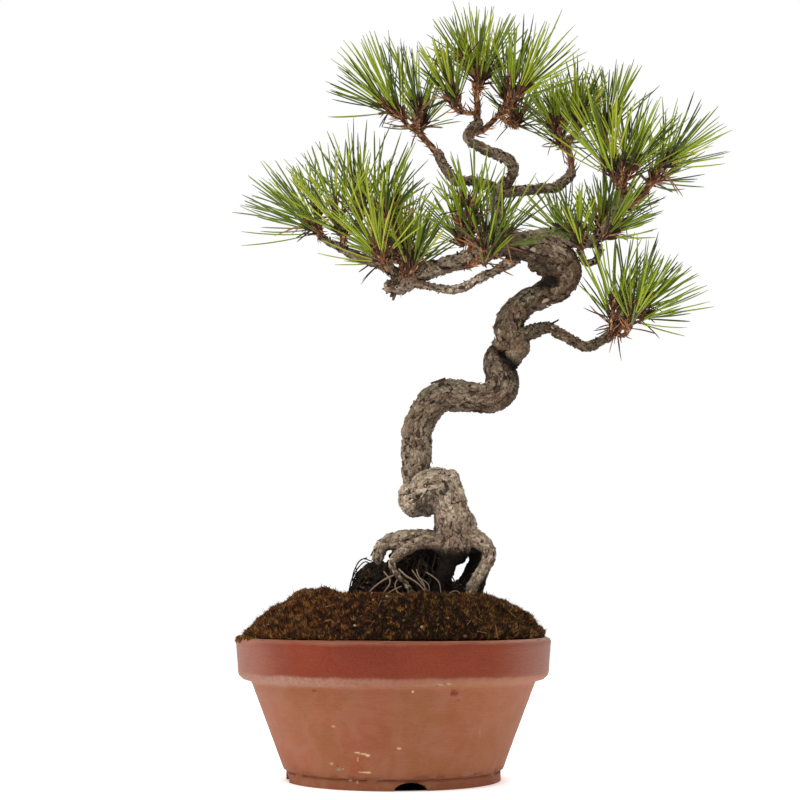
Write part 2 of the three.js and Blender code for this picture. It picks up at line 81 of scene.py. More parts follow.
# %% Set the camera
camera_place = Vector((4.1, -1100, 118)) * MM
camera_pitch = math.radians(6.37)
camera_data = bpy.data.cameras.new("camera")
camera_data.lens = 77.0
camera_data.sensor_width = 36.0
camera_data.clip_end = 50
camera = bpy.data.objects.new("camera", camera_data)
camera.location = camera_place
camera.rotation_euler = (math.pi / 2 + camera_pitch, 0, 0)
bpy.context.scene.collection.objects.link(camera)
bpy.context.scene.camera = camera
print("the camera looks up by", round(math.degrees(camera_pitch), 2), "degrees")

# %% [markdown]
# ## Shader helpers
#
# A material is a little factory of nodes. Writing each one by hand takes many lines, so one helper
# places a node, sets its options and plugs in its inputs. Colours are named as a painter would mix
# them, from 0 to 255, and are turned into the linear light that the renderer counts in.


# %% Place nodes and mix colours
def place(tree, kind, inputs=None, **options):
    """Adds a node. An input is a plain value, or the output of another node to link to."""
    made = tree.nodes.new(kind)
    for option, value in options.items():
        setattr(made, option, value)
    for socket, value in (inputs or {}).items():
        if isinstance(value, bpy.types.NodeSocket):
            tree.links.new(value, made.inputs[socket])
        else:
            made.inputs[socket].default_value = value
    return made


def paint(red, green, blue):
    """A colour as a screen shows it, from 0 to 255, in linear light."""
    shares = [channel / 255 for channel in (red, green, blue)]
    linear = [s / 12.92 if s <= 0.04045 else ((s + 0.055) / 1.055) ** 2.4 for s in shares]
    return (*linear, 1.0)


def mixed(tree, factor, under, over):
    """Lays one colour over another by a mask."""
    node = place(tree, "ShaderNodeMix", {"Factor": factor}, data_type="RGBA")
    for socket, value in ((node.inputs[6], under), (node.inputs[7], over)):
        if isinstance(value, bpy.types.NodeSocket):
            tree.links.new(value, socket)
        else:
            socket.default_value = value
    return node.outputs[2]


def counted(tree, way, first, second):
    """A sum, product or other step of arithmetic between two masks."""
    return place(tree, "ShaderNodeMath", {0: first, 1: second}, operation=way).outputs[0]


def times(tree, first, second):
    """A mask times another mask, or times a plain share."""
    return counted(tree, "MULTIPLY", first, second)


def faded(tree, value, low, high, to_low=0.0, to_high=1.0):
    """Turns a range of values into a soft step between two others."""
    feed = {"Value": value, "From Min": low, "From Max": high, "To Min": to_low, "To Max": to_high}
    return place(tree, "ShaderNodeMapRange", feed, interpolation_type="SMOOTHSTEP").outputs[0]


def washed(tree, mask, share, tone, colour):
    """Lays a thin wash of a colour over a tone, where a mask lets it."""
    return mixed(tree, times(tree, mask, share), tone, paint(*colour))


def veiled(tree, value, low, high, share, tone, colour):
    """Lays a colour over a tone, more and more as a value goes from low to high."""
    return mixed(tree, faded(tree, value, low, high, 0.0, share), tone, paint(*colour))


def new_material(name, roughness=0.8, specular=0.5):
    """An empty finish with its shader ready, and the sockets that most finishes read."""
    material = bpy.data.materials.new(name)
    material.use_nodes = True
    tree = material.node_tree
    shader = tree.nodes["Principled BSDF"]
    shader.inputs["Roughness"].default_value = roughness
    shader.inputs["Specular IOR Level"].default_value = specular
    where = place(tree, "ShaderNodeTexCoord").outputs["Object"]
    return material, tree, shader, where


print("shader helpers are ready")

# %% [markdown]
# ## The studio
#
# The pine was photographed against white, in light that comes from a large window or softbox high on
# the left, with a bright room all round. One large lamp on the left gives the soft direction, a
# smaller one behind lights the needles through, and the sky fills the rest. The pale floor glows a
# little, like a light table, so that it runs into the white behind. Right under the pot the floor is
# painted dark and gives no glow, a painted shadow that shows in the notch at the foot, and a ring
# round the foot glows a little greyer, as a painted contact shadow.

# %% Light the studio
soft_lamps = {
    "window_left": {"at": (-0.75, -0.75, 1.45), "size": 1.1, "watts": 17},
    "window_back": {"at": (0.55, 0.85, 1.25), "size": 0.9, "watts": 9},
}
aim = Vector((0.03, 0, 0.28))
for lamp_name, lamp in soft_lamps.items():
    lamp_data = bpy.data.lights.new(lamp_name, "AREA")
    lamp_data.size = lamp["size"]
    lamp_data.energy = lamp["watts"]
    lamp_object = bpy.data.objects.new(lamp_name, lamp_data)
    lamp_object.location = lamp["at"]
    lamp_object.rotation_euler = (aim - lamp_object.location).to_track_quat("-Z", "Y").to_euler()
    bpy.context.scene.collection.objects.link(lamp_object)

world = bpy.data.worlds.new("bright_room")
world.use_nodes = True
sky = world.node_tree
room = sky.nodes["Background"]
room.inputs["Color"].default_value = (1, 1, 1, 1)
room.inputs["Strength"].default_value = 0.42
backdrop = place(sky, "ShaderNodeBackground", {"Color": (1, 1, 1, 1), "Strength": 1.0})
seen = place(sky, "ShaderNodeLightPath").outputs["Is Camera Ray"]
both = place(sky, "ShaderNodeMixShader", {0: seen, 1: room.outputs[0], 2: backdrop.outputs[0]})
sky.links.new(both.outputs[0], sky.nodes["World Output"].inputs["Surface"])
bpy.context.scene.world = world
bpy.context.scene.view_settings.view_transform = "Standard"
print(len(soft_lamps), "lamps and a bright room")

# %% Lay the floor
floor_size = 16.0
floor_mesh = bpy.data.meshes.new("floor")
shape = bmesh.new()
bmesh.ops.create_grid(shape, x_segments=1, y_segments=1, size=floor_size / 2)
shape.to_mesh(floor_mesh)
shape.free()
floor = bpy.data.objects.new("floor", floor_mesh)
bpy.context.scene.collection.objects.link(floor)
paper, tree, shader, where = new_material("paper_floor", roughness=0.9, specular=0.2)
fibre = place(tree, "ShaderNodeTexNoise", {"Vector": where, "Scale": 60.0, "Detail": 3.0}).outputs[0]
shade = mixed(tree, faded(tree, fibre, 0.3, 0.7), paint(238, 238, 238), paint(243, 243, 242))
# Painted shadow: under the pot the floor is painted dark with no glow, and round the foot its glow is painted
# greyer.
reach = place(tree, "ShaderNodeVectorMath", {0: where}, operation="LENGTH").outputs["Value"]
clear_of_painted_shadow = faded(tree, reach, 0.062, 0.0685)
shade = mixed(tree, clear_of_painted_shadow, paint(26, 19, 15), shade)
glow = mixed(tree, faded(tree, reach, 0.067, 0.077), paint(222, 208, 200), paint(255, 255, 255))
glow = mixed(tree, clear_of_painted_shadow, paint(0, 0, 0), glow)
tree.links.new(shade, shader.inputs["Base Color"])
tree.links.new(glow, shader.inputs["Emission Color"])
shader.inputs["Emission Strength"].default_value = 0.64
floor_mesh.materials.append(paper)
floor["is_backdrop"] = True
print("the floor is", floor_size, "m across")

# %% [markdown]
# ## Effects that several finishes share
#
# Clay, bark and soil all need the same few effects: fine grain, soft blotches of another tone, and
# small marks at a place. Each is built once as a node group with named inputs, and every material
# that wants it places the group with its own values.


# %% Build the shared effects
def new_group(name, inputs, outputs):
    """An empty node group with number or vector inputs and number outputs."""
    group = bpy.data.node_groups.new(name, "ShaderNodeTree")
    for label, (kind, value) in inputs.items():
        socket = group.interface.new_socket(label, in_out="INPUT", socket_type=kind)
        socket.default_value = value
    for label in outputs:
        group.interface.new_socket(label, in_out="OUTPUT", socket_type="NodeSocketFloat")
    entry = place(group, "NodeGroupInput")
    leave = place(group, "NodeGroupOutput")
    return group, entry.outputs, leave.inputs


NUMBER = "NodeSocketFloat"
PLACE = "NodeSocketVector"

# Fine grain: small uneven dots, as a mask for colour and as a height for relief.
grain, entry, leave = new_group(
    "fine_grain",
    {"Vector": (PLACE, (0, 0, 0)), "Scale": (NUMBER, 900.0), "Low": (NUMBER, 0.35), "High": (NUMBER, 0.65)},
    ["Mask", "Height"],
)
dots = place(grain, "ShaderNodeTexNoise", {"Vector": entry["Vector"], "Scale": entry["Scale"]})
dots.inputs["Detail"].default_value = 4.0
dots.inputs["Roughness"].default_value = 0.65
soft_dots = faded(grain, dots.outputs[0], entry["Low"], entry["High"])
grain.links.new(soft_dots, leave["Mask"])
grain.links.new(dots.outputs[0], leave["Height"])

# Blotches: large soft patches with ragged edges. Cover is the share of the surface that they take.
blotches, entry, leave = new_group(
    "blotches",
    {"Vector": (PLACE, (0, 0, 0)), "Scale": (NUMBER, 30.0), "Cover": (NUMBER, 0.5), "Edge": (NUMBER, 0.08)},
    ["Mask"],
)
cloud = place(blotches, "ShaderNodeTexNoise", {"Vector": entry["Vector"], "Scale": entry["Scale"]})
cloud.inputs["Detail"].default_value = 6.0
cloud.inputs["Roughness"].default_value = 0.62
cloud.inputs["Distortion"].default_value = 0.6
limit = counted(blotches, "SUBTRACT", 0.75, times(blotches, entry["Cover"], 0.5))
upper = counted(blotches, "ADD", limit, entry["Edge"])
blotches.links.new(faded(blotches, cloud.outputs[0], limit, upper), leave["Mask"])

# A mark: a small ragged spot or streak round one place.
mark, entry, leave = new_group(
    "mark",
    {"Vector": (PLACE, (0, 0, 0)), "At": (PLACE, (0, 0, 0)), "Size": (PLACE, (0.002, 0.002, 0.002))},
    ["Mask"],
)
offset = place(mark, "ShaderNodeVectorMath", {0: entry["Vector"], 1: entry["At"]}, operation="SUBTRACT")
scaled = place(mark, "ShaderNodeVectorMath", {0: offset.outputs[0], 1: entry["Size"]}, operation="DIVIDE")
reach = place(mark, "ShaderNodeVectorMath", {0: scaled.outputs[0]}, operation="LENGTH").outputs["Value"]
ragged = place(mark, "ShaderNodeTexNoise", {"Vector": entry["Vector"], "Scale": 700.0}).outputs[0]
worn = counted(mark, "ADD", reach, times(mark, ragged, 1.6))
mark.links.new(faded(mark, worn, 1.9, 1.2), leave["Mask"])
print("shared effects:", grain.name, blotches.name, mark.name)


# %% Use a shared effect
def effect(tree, group, **values):
    """Places a shared effect in a material."""
    node = place(tree, "ShaderNodeGroup", node_tree=group)
    for label, value in values.items():
        if isinstance(value, bpy.types.NodeSocket):
            tree.links.new(value, node.inputs[label])
        else:
            node.inputs[label].default_value = value
    return node.outputs


def raised(tree, shader, height, distance, strength=1.0, under=None):
    """Bumps the surface by a height, on top of an earlier bump if there is one."""
    bump = place(tree, "ShaderNodeBump", {"Height": height, "Strength": strength, "Distance": distance})
    if under is not None:
        tree.links.new(under, bump.inputs["Normal"])
    tree.links.new(bump.outputs[0], shader.inputs["Normal"])
    return bump.outputs[0]


print("effects can be placed")

# %% [markdown]
# ## The pot
#
# A clay training pot is thrown on a wheel, so its form is one outline turned round an axis: a foot
# ring, a wall that leans out, and a deep band at the rim. Spinning the same outline in Blender gives
# it at once. The arched notches under the foot are cut out while the clay is still damp, which a
# Boolean does here, and a Bevel modifier rounds every edge as a wet sponge does. Last, each point
# moves a little, because no hand-made rim is quite level.

# %% Name the pot's sizes
pot = {
    "height": 89,
    "rim": 100,
    "rim_foot": 98.4,
    "rim_depth": 22,
    "neck": 90,
    "neck_height": 61.5,
    "waist": 69.4,
    "foot": 67.6,
    "foot_height": 6.6,
    "wall": 7.6,
    "floor": 9,
}
drain = {"count": 4, "first": -81, "width": 20, "height": 5, "distance": 33, "hole": 6}
pot_steps = 160
print("the pot is", 2 * pot["rim"], "mm wide and", pot["height"], "mm high")


# %% Spin the wall
def in_order(form):
    """The same form with its faces sorted, because merging leaves them in any order."""
    form.verts.index_update()
    rings = []
    for face in form.faces:
        ring = [corner.index for corner in face.verts]
        first = ring.index(min(ring))
        rings.append(ring[first:] + ring[:first])
    ordered = bmesh.new()
    corners = [ordered.verts.new(corner.co) for corner in form.verts]
    for ring in sorted(rings):
        ordered.faces.new([corners[index] for index in ring])
    form.free()
    return ordered


def spun(outline, steps, spacing):
    """Turns an outline of radius and height, in millimetres, round the upright axis."""
    form = bmesh.new()
    dense = [outline[0]]
    for start, end in zip(outline, outline[1:]):
        cuts = 1 + int(math.dist(start, end) / spacing)
        dense += [tuple(np.add(start, np.subtract(end, start) * cut / cuts)) for cut in range(1, cuts + 1)]
    corners = [form.verts.new((radius * MM, 0, height * MM)) for radius, height in dense]
    line = [form.edges.new(pair) for pair in zip(corners, corners[1:])]
    bmesh.ops.spin(
        form, geom=corners + line, axis=(0, 0, 1), cent=(0, 0, 0),
        angle=2 * math.pi, steps=steps, use_merge=True,
    )
    bmesh.ops.remove_doubles(form, verts=form.verts, dist=0.01 * MM)
    bmesh.ops.recalc_face_normals(form, faces=form.faces)
    return in_order(form)


def new_object(name, form, *materials):
    """A mesh object at the origin, from a bmesh, with its finishes."""
    mesh = bpy.data.meshes.new(name)
    form.to_mesh(mesh)
    form.free()
    made = bpy.data.objects.new(name, mesh)
    bpy.context.scene.collection.objects.link(made)
    for material in materials:
        mesh.materials.append(material)
    return made


def finished(piece):
    """Works every live modifier into the mesh."""
    seen_as = piece.evaluated_get(bpy.context.evaluated_depsgraph_get())
    mesh = bpy.data.meshes.new_from_object(seen_as)
    piece.modifiers.clear()
    piece.data = mesh


inner_top = pot["rim"] - pot["wall"]
inner_foot = pot["waist"] - pot["wall"]
band_foot = pot["height"] - pot["rim_depth"]
pot_outline = [
    (0, 0),
    (pot["foot"], 0),
    (pot["foot"], pot["foot_height"]),
    (pot["waist"], pot["foot_height"] + 1),
    (pot["neck"] - 0.8, pot["neck_height"] - 2),
    (pot["neck"] - 0.1, pot["neck_height"] - 0.5),
    (pot["neck"] + 0.7, pot["neck_height"] + 0.3),
    (pot["neck"] + 1.9, pot["neck_height"] + 0.7),
    (pot["rim_foot"] - 3, band_foot - 3.8),
    (pot["rim_foot"] - 0.6, band_foot - 1.6),
    (pot["rim_foot"], band_foot),
    (pot["rim"], pot["height"] - 2.6),
    (pot["rim"] - 0.7, pot["height"] - 0.9),
    (pot["rim"] - 2.6, pot["height"]),
    (inner_top + 2.2, pot["height"]),
    (inner_top + 0.4, pot["height"] - 1.2),
    (inner_top, pot["height"] - 3),
    (inner_foot, pot["floor"] + 3),
    (inner_foot - 4, pot["floor"]),
    (0, pot["floor"]),
]
wall_form = spun(pot_outline, pot_steps, spacing=3.2)
pot_wall = new_object("pot_wall", wall_form)
print("the wall has", len(pot_wall.data.polygons), "faces")

# %% Cut the arches and the drain holes
arch_length = 48
arch_sides = 48
hole_length = 60
hole_sides = 32
cutting = bmesh.new()
for number in range(drain["count"]):
    turn = math.radians(drain["first"] + number * 360 / drain["count"])
    arch = bmesh.ops.create_cone(
        cutting, cap_ends=True, segments=arch_sides, radius1=1, radius2=1, depth=1
    )["verts"]
    bmesh.ops.scale(cutting, vec=Vector((drain["height"], drain["width"] / 2, arch_length)) * MM, verts=arch)
    lying = Vector((0, 0, 1)).rotation_difference(Vector((1, 0, 0))).to_matrix()
    bmesh.ops.rotate(cutting, verts=arch, matrix=lying)
    bmesh.ops.translate(cutting, vec=Vector((drain["distance"] + arch_length / 2, 0, 0)) * MM, verts=arch)
    wide = drain["hole"] * MM
    hole = bmesh.ops.create_cone(
        cutting, cap_ends=True, segments=hole_sides, radius1=wide, radius2=wide, depth=hole_length * MM
    )["verts"]
    bmesh.ops.translate(cutting, vec=Vector((drain["distance"], 0, 0)) * MM, verts=hole)
    swing = Vector((1, 0, 0)).rotation_difference(Vector((math.cos(turn), math.sin(turn), 0))).to_matrix()
    bmesh.ops.rotate(cutting, verts=arch + hole, matrix=swing)
bmesh.ops.recalc_face_normals(cutting, faces=cutting.faces)
cutter = new_object("drain_cutter", cutting)
cut = pot_wall.modifiers.new("arches", "BOOLEAN")
cut.object = cutter
cut.operation = "DIFFERENCE"
cut.solver = "EXACT"
cut.use_self = True
finished(pot_wall)
bpy.data.objects.remove(cutter)
rounding = pot_wall.modifiers.new("sponge", "BEVEL")
rounding.width = 0.7 * MM
rounding.segments = 3
rounding.limit_method = "ANGLE"
rounding.angle_limit = math.radians(32)
finished(pot_wall)
print("after the cuts the pot has", len(pot_wall.data.polygons), "faces")


# %% Let the clay be hand-made
def read_points(mesh):
    """Every point of a mesh, as rows of x, y and z in metres."""
    points = np.empty(len(mesh.vertices) * 3)
    mesh.vertices.foreach_get("co", points)
    return points.reshape(-1, 3)


def write_points(mesh, points):
    """Moves every point of a mesh."""
    mesh.vertices.foreach_set("co", np.asarray(points, float).ravel())
    mesh.update()


def noise_at(points, scale, octaves=3, offset=0.0):
    """Smooth noise from about -1 to 1 at every point."""
    shift = Vector((offset, offset * 0.7, -offset))
    return np.array([noise.fractal(Vector(p) * scale + shift, 1.0, 2.0, octaves) for p in points])


wear = {"sway": 0.25, "ripple": 0.12, "chip": 1.1, "tilt": 0.35}
points = read_points(pot_wall.data)
outward = points[:, :2] / np.maximum(np.linalg.norm(points[:, :2], axis=1, keepdims=True), 1e-6)
wobble = noise_at(points, 18, 2) * wear["sway"] * MM + noise_at(points, 160, 3, 5.0) * wear["ripple"] * MM
near_lip = np.clip((points[:, 2] - 80 * MM) / (9 * MM), 0, 1)
chips = np.clip(noise_at(points, 90, 3, 9.0) - 0.35, 0, 1) * wear["chip"] * MM
above_foot = np.clip(points[:, 2] / (4 * MM), 0, 1)
points[:, :2] += outward * (wobble * above_foot - chips * near_lip)[:, None]
points[:, 2] += (noise_at(points, 14, 2, 3.0) * wear["tilt"] * MM - 0.6 * chips) * near_lip
write_points(pot_wall.data, points)
pot_wall.data.shade_smooth()
print("the rim runs from", round(points[:, 2].max() / MM, 2), "mm down")

# %% [markdown]
# The clay is unglazed and has weathered. The wide band has soaked up oil and water from hands and is
# a deep brick red with a faint shine. The wall below is paler and dry, with ochre and pinkish clouds.
# Salts from the water have dried to a pale bloom under the band, and a few scratches and specks of
# lichen sit near the foot. The top of the lip is painted paler as a highlight, and the left and right
# sides, as seen from the front, are painted paler as a sheen. All of it is masks between tones of one
# clay. Height comes from Z, clouds from the shared blotches, and each scratch from the shared mark.

# %% Mix the clay
clay, tree, shader, where = new_material("old_clay", roughness=0.7, specular=0.2)
axes = place(tree, "ShaderNodeSeparateXYZ", {0: where}).outputs
up = axes["Z"]
sheen_sideways = place(tree, "ShaderNodeMath", {0: axes["X"]}, operation="ABSOLUTE").outputs[0]
ring_stretch = place(tree, "ShaderNodeMapping", {"Vector": where, "Scale": (1, 1, 6)}).outputs[0]
clouds = effect(tree, blotches, Vector=where, Scale=26.0, Cover=0.9, Edge=0.3)["Mask"]
ochre = effect(tree, blotches, Vector=where, Scale=17.0, Cover=0.75, Edge=0.22)["Mask"]
rings = effect(tree, grain, Vector=ring_stretch, Scale=140.0, Low=0.3, High=0.7)["Mask"]
fine = effect(tree, grain, Vector=where, Scale=1500.0, Low=0.3, High=0.7)
ragged = place(tree, "ShaderNodeTexNoise", {"Vector": where, "Scale": 55.0, "Detail": 5.0}).outputs[0]
edge = counted(tree, "ADD", up, times(tree, counted(tree, "SUBTRACT", ragged, 0.5), 0.0035))

wall = mixed(tree, clouds, paint(147, 76, 47), paint(156, 92, 64))
wall = washed(tree, ochre, 0.5, wall, (140, 92, 52))
wall = washed(tree, rings, 0.22, wall, (130, 62, 38))
# The clay is painted darker towards the foot.
low_darkening = times(tree, faded(tree, edge, 0.014, 0.005), 0.5)
wall = mixed(tree, low_darkening, wall, paint(116, 66, 40))
mottle = effect(tree, blotches, Vector=where, Scale=62.0, Cover=0.75, Edge=0.3)["Mask"]
wall = washed(tree, mottle, 0.4, wall, (162, 108, 86))

band = mixed(tree, clouds, paint(116, 32, 5), paint(131, 47, 16))
band = washed(tree, rings, 0.3, band, (110, 30, 6))
in_band = faded(tree, edge, 0.066, 0.0682)
tone = mixed(tree, in_band, wall, band)
under_band = times(tree, faded(tree, edge, 0.0602, 0.063), faded(tree, edge, 0.0688, 0.0662))
salts = effect(tree, blotches, Vector=where, Scale=70.0, Cover=1.1, Edge=0.3)["Mask"]
specks = effect(tree, grain, Vector=where, Scale=420.0, Low=0.4, High=0.6)["Mask"]
salts = times(tree, salts, faded(tree, specks, 0.0, 1.0, 0.45, 1.0))
salts = times(tree, salts, faded(tree, axes["X"], 0.02, -0.06, 0.35, 0.95))
bloom = times(tree, under_band, salts)
tone = mixed(tree, bloom, tone, paint(160, 124, 110))
# Painted highlight: a band along the top of the lip is painted paler.
lip_highlight = times(tree, faded(tree, edge, 0.0854, 0.0886), 0.56)
tone = mixed(tree, lip_highlight, tone, paint(172, 116, 88))
# Painted sheen: seen from the front, the pot's left and right sides are painted paler, as the bright room's
# reflection at a grazing angle, and its middle is painted a little darker.
tone = veiled(tree, sheen_sideways, 0.055, 0.099, 0.4, tone, (178, 134, 116))
tone = veiled(tree, sheen_sideways, 0.055, 0.01, 0.12, tone, (86, 34, 16))

# Each mark has its place, its half width and half height, and its colour.
mark_depth = 12
scratches = [
    ((-20.8, -70, 23.1), (2.7, 0.55), (210, 180, 134)),
    ((-17.6, -70, 22.3), (2.7, 0.7), (210, 180, 134)),
    ((-14.9, -70, 21.4), (1.9, 0.9), (218, 190, 146)),
    ((-20.8, -70, 19.0), (0.6, 1.8), (186, 146, 104)),
    ((-35.4, -70, 38.4), (1.3, 0.9), (184, 146, 106)),
    ((3.4, -72, 25.9), (1.4, 1.0), (204, 170, 124)),
    ((-16.2, -66, 11.3), (4.2, 0.7), (200, 182, 132)),
    ((-36.7, -60, 15.8), (1.3, 1.1), (176, 148, 116)),
    ((-33.2, -60, 14.3), (0.8, 0.7), (72, 58, 44)),
    ((-32.3, -60, 12.3), (1.7, 1.3), (130, 132, 102)),
    ((-30.0, -60, 12.8), (0.9, 0.6), (170, 150, 120)),
    ((-25.2, -62, 6.0), (1.3, 0.7), (192, 166, 132)),
    ((-27.2, -62, 4.4), (1.3, 1.0), (104, 88, 62)),
    ((-21.2, -62, 5.2), (0.9, 1.4), (182, 146, 114)),
    ((-3.0, -62, 4.0), (5.0, 3.0), (134, 92, 60)),
    ((22.5, -62, 4.0), (4.0, 3.0), (134, 92, 60)),
    ((27.2, -86, 63.8), (2.8, 1.1), (152, 138, 92)),
    ((29.8, -86, 64.6), (1.0, 0.7), (70, 48, 26)),
    ((32.6, -85, 64.1), (1.7, 0.9), (178, 150, 108)),
    ((25.8, -86, 63.2), (1.1, 0.7), (74, 54, 28)),
    ((35.8, -80, 58.2), (2.9, 2.3), (104, 44, 24)),
    ((38.6, -80, 54.0), (1.4, 0.9), (134, 72, 46)),
    ((11.6, -88, 59.4), (0.9, 0.9), (226, 196, 180)),
    ((-46.5, -75, 59.6), (1.6, 1.2), (112, 62, 40)),
    ((52.0, -58, 34.0), (0.9, 4.4), (164, 106, 76)),
]
for at, (wide, high), colour in scratches:
    size = Vector((wide, mark_depth, high)) * MM
    spot = effect(tree, mark, Vector=where, At=Vector(at) * MM, Size=size)["Mask"]
    tone = washed(tree, spot, 0.85, tone, colour)
tone = washed(tree, fine["Mask"], 0.07, tone, (206, 156, 126))
tree.links.new(tone, shader.inputs["Base Color"])

dry = counted(tree, "ADD", 0.7, times(tree, fine["Mask"], 0.12))
gloss = place(tree, "ShaderNodeMix", {0: in_band, 2: dry, 3: 0.5}).outputs[0]
gloss = counted(tree, "ADD", gloss, times(tree, bloom, 0.25))
tree.links.new(gloss, shader.inputs["Roughness"])
first = raised(tree, shader, rings, 0.25 * MM, 0.5)
raised(tree, shader, fine["Height"], 0.2 * MM, 0.55, first)
pot_wall.data.materials.clear()
pot_wall.data.materials.append(clay)
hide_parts("pot")
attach(pot_wall, "root")
print("the clay has", len(scratches), "marks and", len(tree.nodes), "nodes")

# %% [markdown]
# ## The soil and its moss
#
# The soil fills the pot and is heaped over the rim, so that the roots stand free. It is one outline
# turned round the same axis as the pot, with a ring every two millimetres, so that noise can push up
# the soft cushions that moss grows in. The moss itself is thousands of tiny upright blades. One blade
# is made once, and its arrays of points are repeated over the heap into one joined mesh, which costs
# far less than as many objects. Each blade has a plain colour, dealt out in clumps: rust on the dry
# left side, olive on the right, and nearly black at the front, where the moss stays wet and painted
# shade darkens it further. On the left a little moss has crept over the rim.

# %% Heap the soil
gap = 0.3
inside = inner_top - gap
mound = {"top": 117, "top_radius": 58, "centre": 2, "shoulder": inside + 2.6, "lump": 1.9, "sunk": 3.0}
hump = {"at": (-49, -12), "size": (13, 17), "height": 3.4}
level = {"at": (21, -4), "size": (53, 38)}
mound_outline = [
    (0, pot["floor"] + gap),
    (inner_foot - 4 - gap, pot["floor"] + gap),
    (inner_foot - gap, pot["floor"] + 3 + gap),
    (inside, pot["height"] - 2),
    (inside, pot["height"] + gap),
    (mound["shoulder"], pot["height"] + 1.4),
    (inside + 1.4, 94),
    (85.5, 102.5),
    (77, 108.5),
    (68, 113.5),
    (mound["top_radius"], mound["top"]),
    (mound["top_radius"] - 20, mound["top"]),
    (0, mound["top"]),
]


def smooth_step(value, low, high):
    """A soft step from 0 to 1 between two values."""
    share = np.clip((value - low) / (high - low), 0, 1)
    return share * share * (3 - 2 * share)


def reach_of(x, y, spot):
    """How far places are from the middle of a spot, counted in its own half widths."""
    return np.hypot((x - spot["at"][0]) / spot["size"][0], (y - spot["at"][1]) / spot["size"][1])


def lumps_at(x, y):
    """The solid's own cushions, about 32 mm apart, with level ground round the roots."""
    waves = np.sin(0.2 * x + 1) * np.cos(0.19 * y + 0.4) + 0.5 * np.sin(0.11 * x - 0.17 * y + 2)
    swell = hump["height"] * np.exp(-reach_of(x, y, hump) ** 2)
    return (mound["lump"] * waves + swell) * smooth_step(reach_of(x, y, level), 1, 1.3)


heap_steps = 260
heap = new_object("soil_heap", spun(mound_outline, heap_steps, spacing=1.8))
points = read_points(heap.data) / MM
rise = np.clip((points[:, 2] - pot["height"] - 1) / (mound["top"] - pot["height"] - 1), 0, 1)
above = np.clip(rise * 4, 0, 1)
small_lumps = noise_at(points * MM, 110, 2, 4.0) * 1.1 + noise_at(points * MM, 240, 2, 8.0) * 0.9
lumps = lumps_at(points[:, 0], points[:, 1])
points[:, 0] += mound["centre"] * np.sqrt(rise)
points[:, 2] += (lumps + small_lumps - mound["sunk"]) * above
write_points(heap.data, points * MM)
heap.data.shade_smooth()
print("the heap of soil has", len(heap.data.polygons), "faces")

# %% Mix the soil
soil, tree, shader, where = new_material("mossy_soil", roughness=0.95, specular=0.15)
side = place(tree, "ShaderNodeSeparateXYZ", {0: where}).outputs["X"]
patches = effect(tree, blotches, Vector=where, Scale=85.0, Cover=0.8, Edge=0.2)["Mask"]
crumbs = effect(tree, grain, Vector=where, Scale=1100.0, Low=0.35, High=0.7)
ground = mixed(tree, faded(tree, side, -0.04, 0.06), paint(44, 26, 15), paint(42, 29, 14))
ground = washed(tree, patches, 0.6, ground, (28, 17, 10))
ground = washed(tree, crumbs["Mask"], 0.35, ground, (72, 50, 30))
tree.links.new(ground, shader.inputs["Base Color"])
raised(tree, shader, crumbs["Height"], 0.6 * MM, 0.8)
heap.data.materials.append(soil)
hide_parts("soil_mound")
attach(heap, "root")
print("the soil has", len(tree.nodes), "nodes")


# %% Repeat a small shape
def pattern_of(form):
    """The points and the triangles of a small shape, ready to be repeated."""
    bmesh.ops.triangulate(form, faces=form.faces)
    form.verts.index_update()
    corners = np.array([tuple(v.co) for v in form.verts])
    faces = np.array([[v.index for v in face.verts] for face in form.faces])
    form.free()
    return corners, faces


def spike(sides, foot, tip, capped=True):
    """A cone or rod that is one long and stands upright on its own origin."""
    form = bmesh.new()
    bmesh.ops.create_cone(form, cap_ends=capped, segments=sides, radius1=foot, radius2=tip, depth=1)
    bmesh.ops.translate(form, vec=(0, 0, 0.5), verts=form.verts)
    return form


def repeated(name, faces, copies, tones, materials):
    """Joins many copies of a small shape. Tones gives each copy, or each of its faces, a colour."""
    count, size = copies.shape[:2]
    corners = (faces[None] + np.arange(count)[:, None, None] * size).reshape(-1)
    tones = np.asarray(tones)
    if tones.ndim == 1:
        tones = np.repeat(tones[:, None], len(faces), axis=1)
    mesh = bpy.data.meshes.new(name)
    mesh.vertices.add(count * size)
    mesh.vertices.foreach_set("co", (copies * MM).reshape(-1))
    mesh.loops.add(len(corners))
    mesh.loops.foreach_set("vertex_index", corners.astype(np.int32))
    mesh.polygons.add(len(corners) // 3)
    mesh.polygons.foreach_set("loop_start", np.arange(0, len(corners), 3, dtype=np.int32))
    for material in materials:
        mesh.materials.append(material)
    mesh.polygons.foreach_set("material_index", tones.astype(np.int32).reshape(-1))
    mesh.update(calc_edges=True)
    mesh.shade_smooth()
    made = bpy.data.objects.new(name, mesh)
    bpy.context.scene.collection.objects.link(made)
    print(name, "has", count, "copies and", len(mesh.polygons), "triangles")
    return made


def unit(vectors):
    """Makes each row one long."""
    return vectors / np.maximum(np.linalg.norm(vectors, axis=-1, keepdims=True), 1e-9)


def copied(pattern, spots, sizes, side, along, up):
    """Copies of a shape at the spots, each scaled and drawn in three directions of its own."""
    scaled = pattern[None] * sizes[:, None, :]
    return (
        spots[:, None, :]
        + scaled[..., 0:1] * side[:, None, :]
        + scaled[..., 1:2] * along[:, None, :]
        + scaled[..., 2:3] * up[:, None, :]
    )


def stood_up(pattern, spots, ways, sizes, spins):
    """Turns copies of a shape so that its own Z points each way, and puts them at the spots."""
    helper = np.where(np.abs(ways[:, 2:]) > 0.9, [[1.0, 0, 0]], [[0, 0, 1.0]])
    side = unit(np.cross(helper, ways))
    over = np.cross(ways, side)
    turned = side * np.cos(spins)[:, None] + over * np.sin(spins)[:, None]
    return copied(pattern, spots, sizes, turned, np.cross(ways, turned), ways)


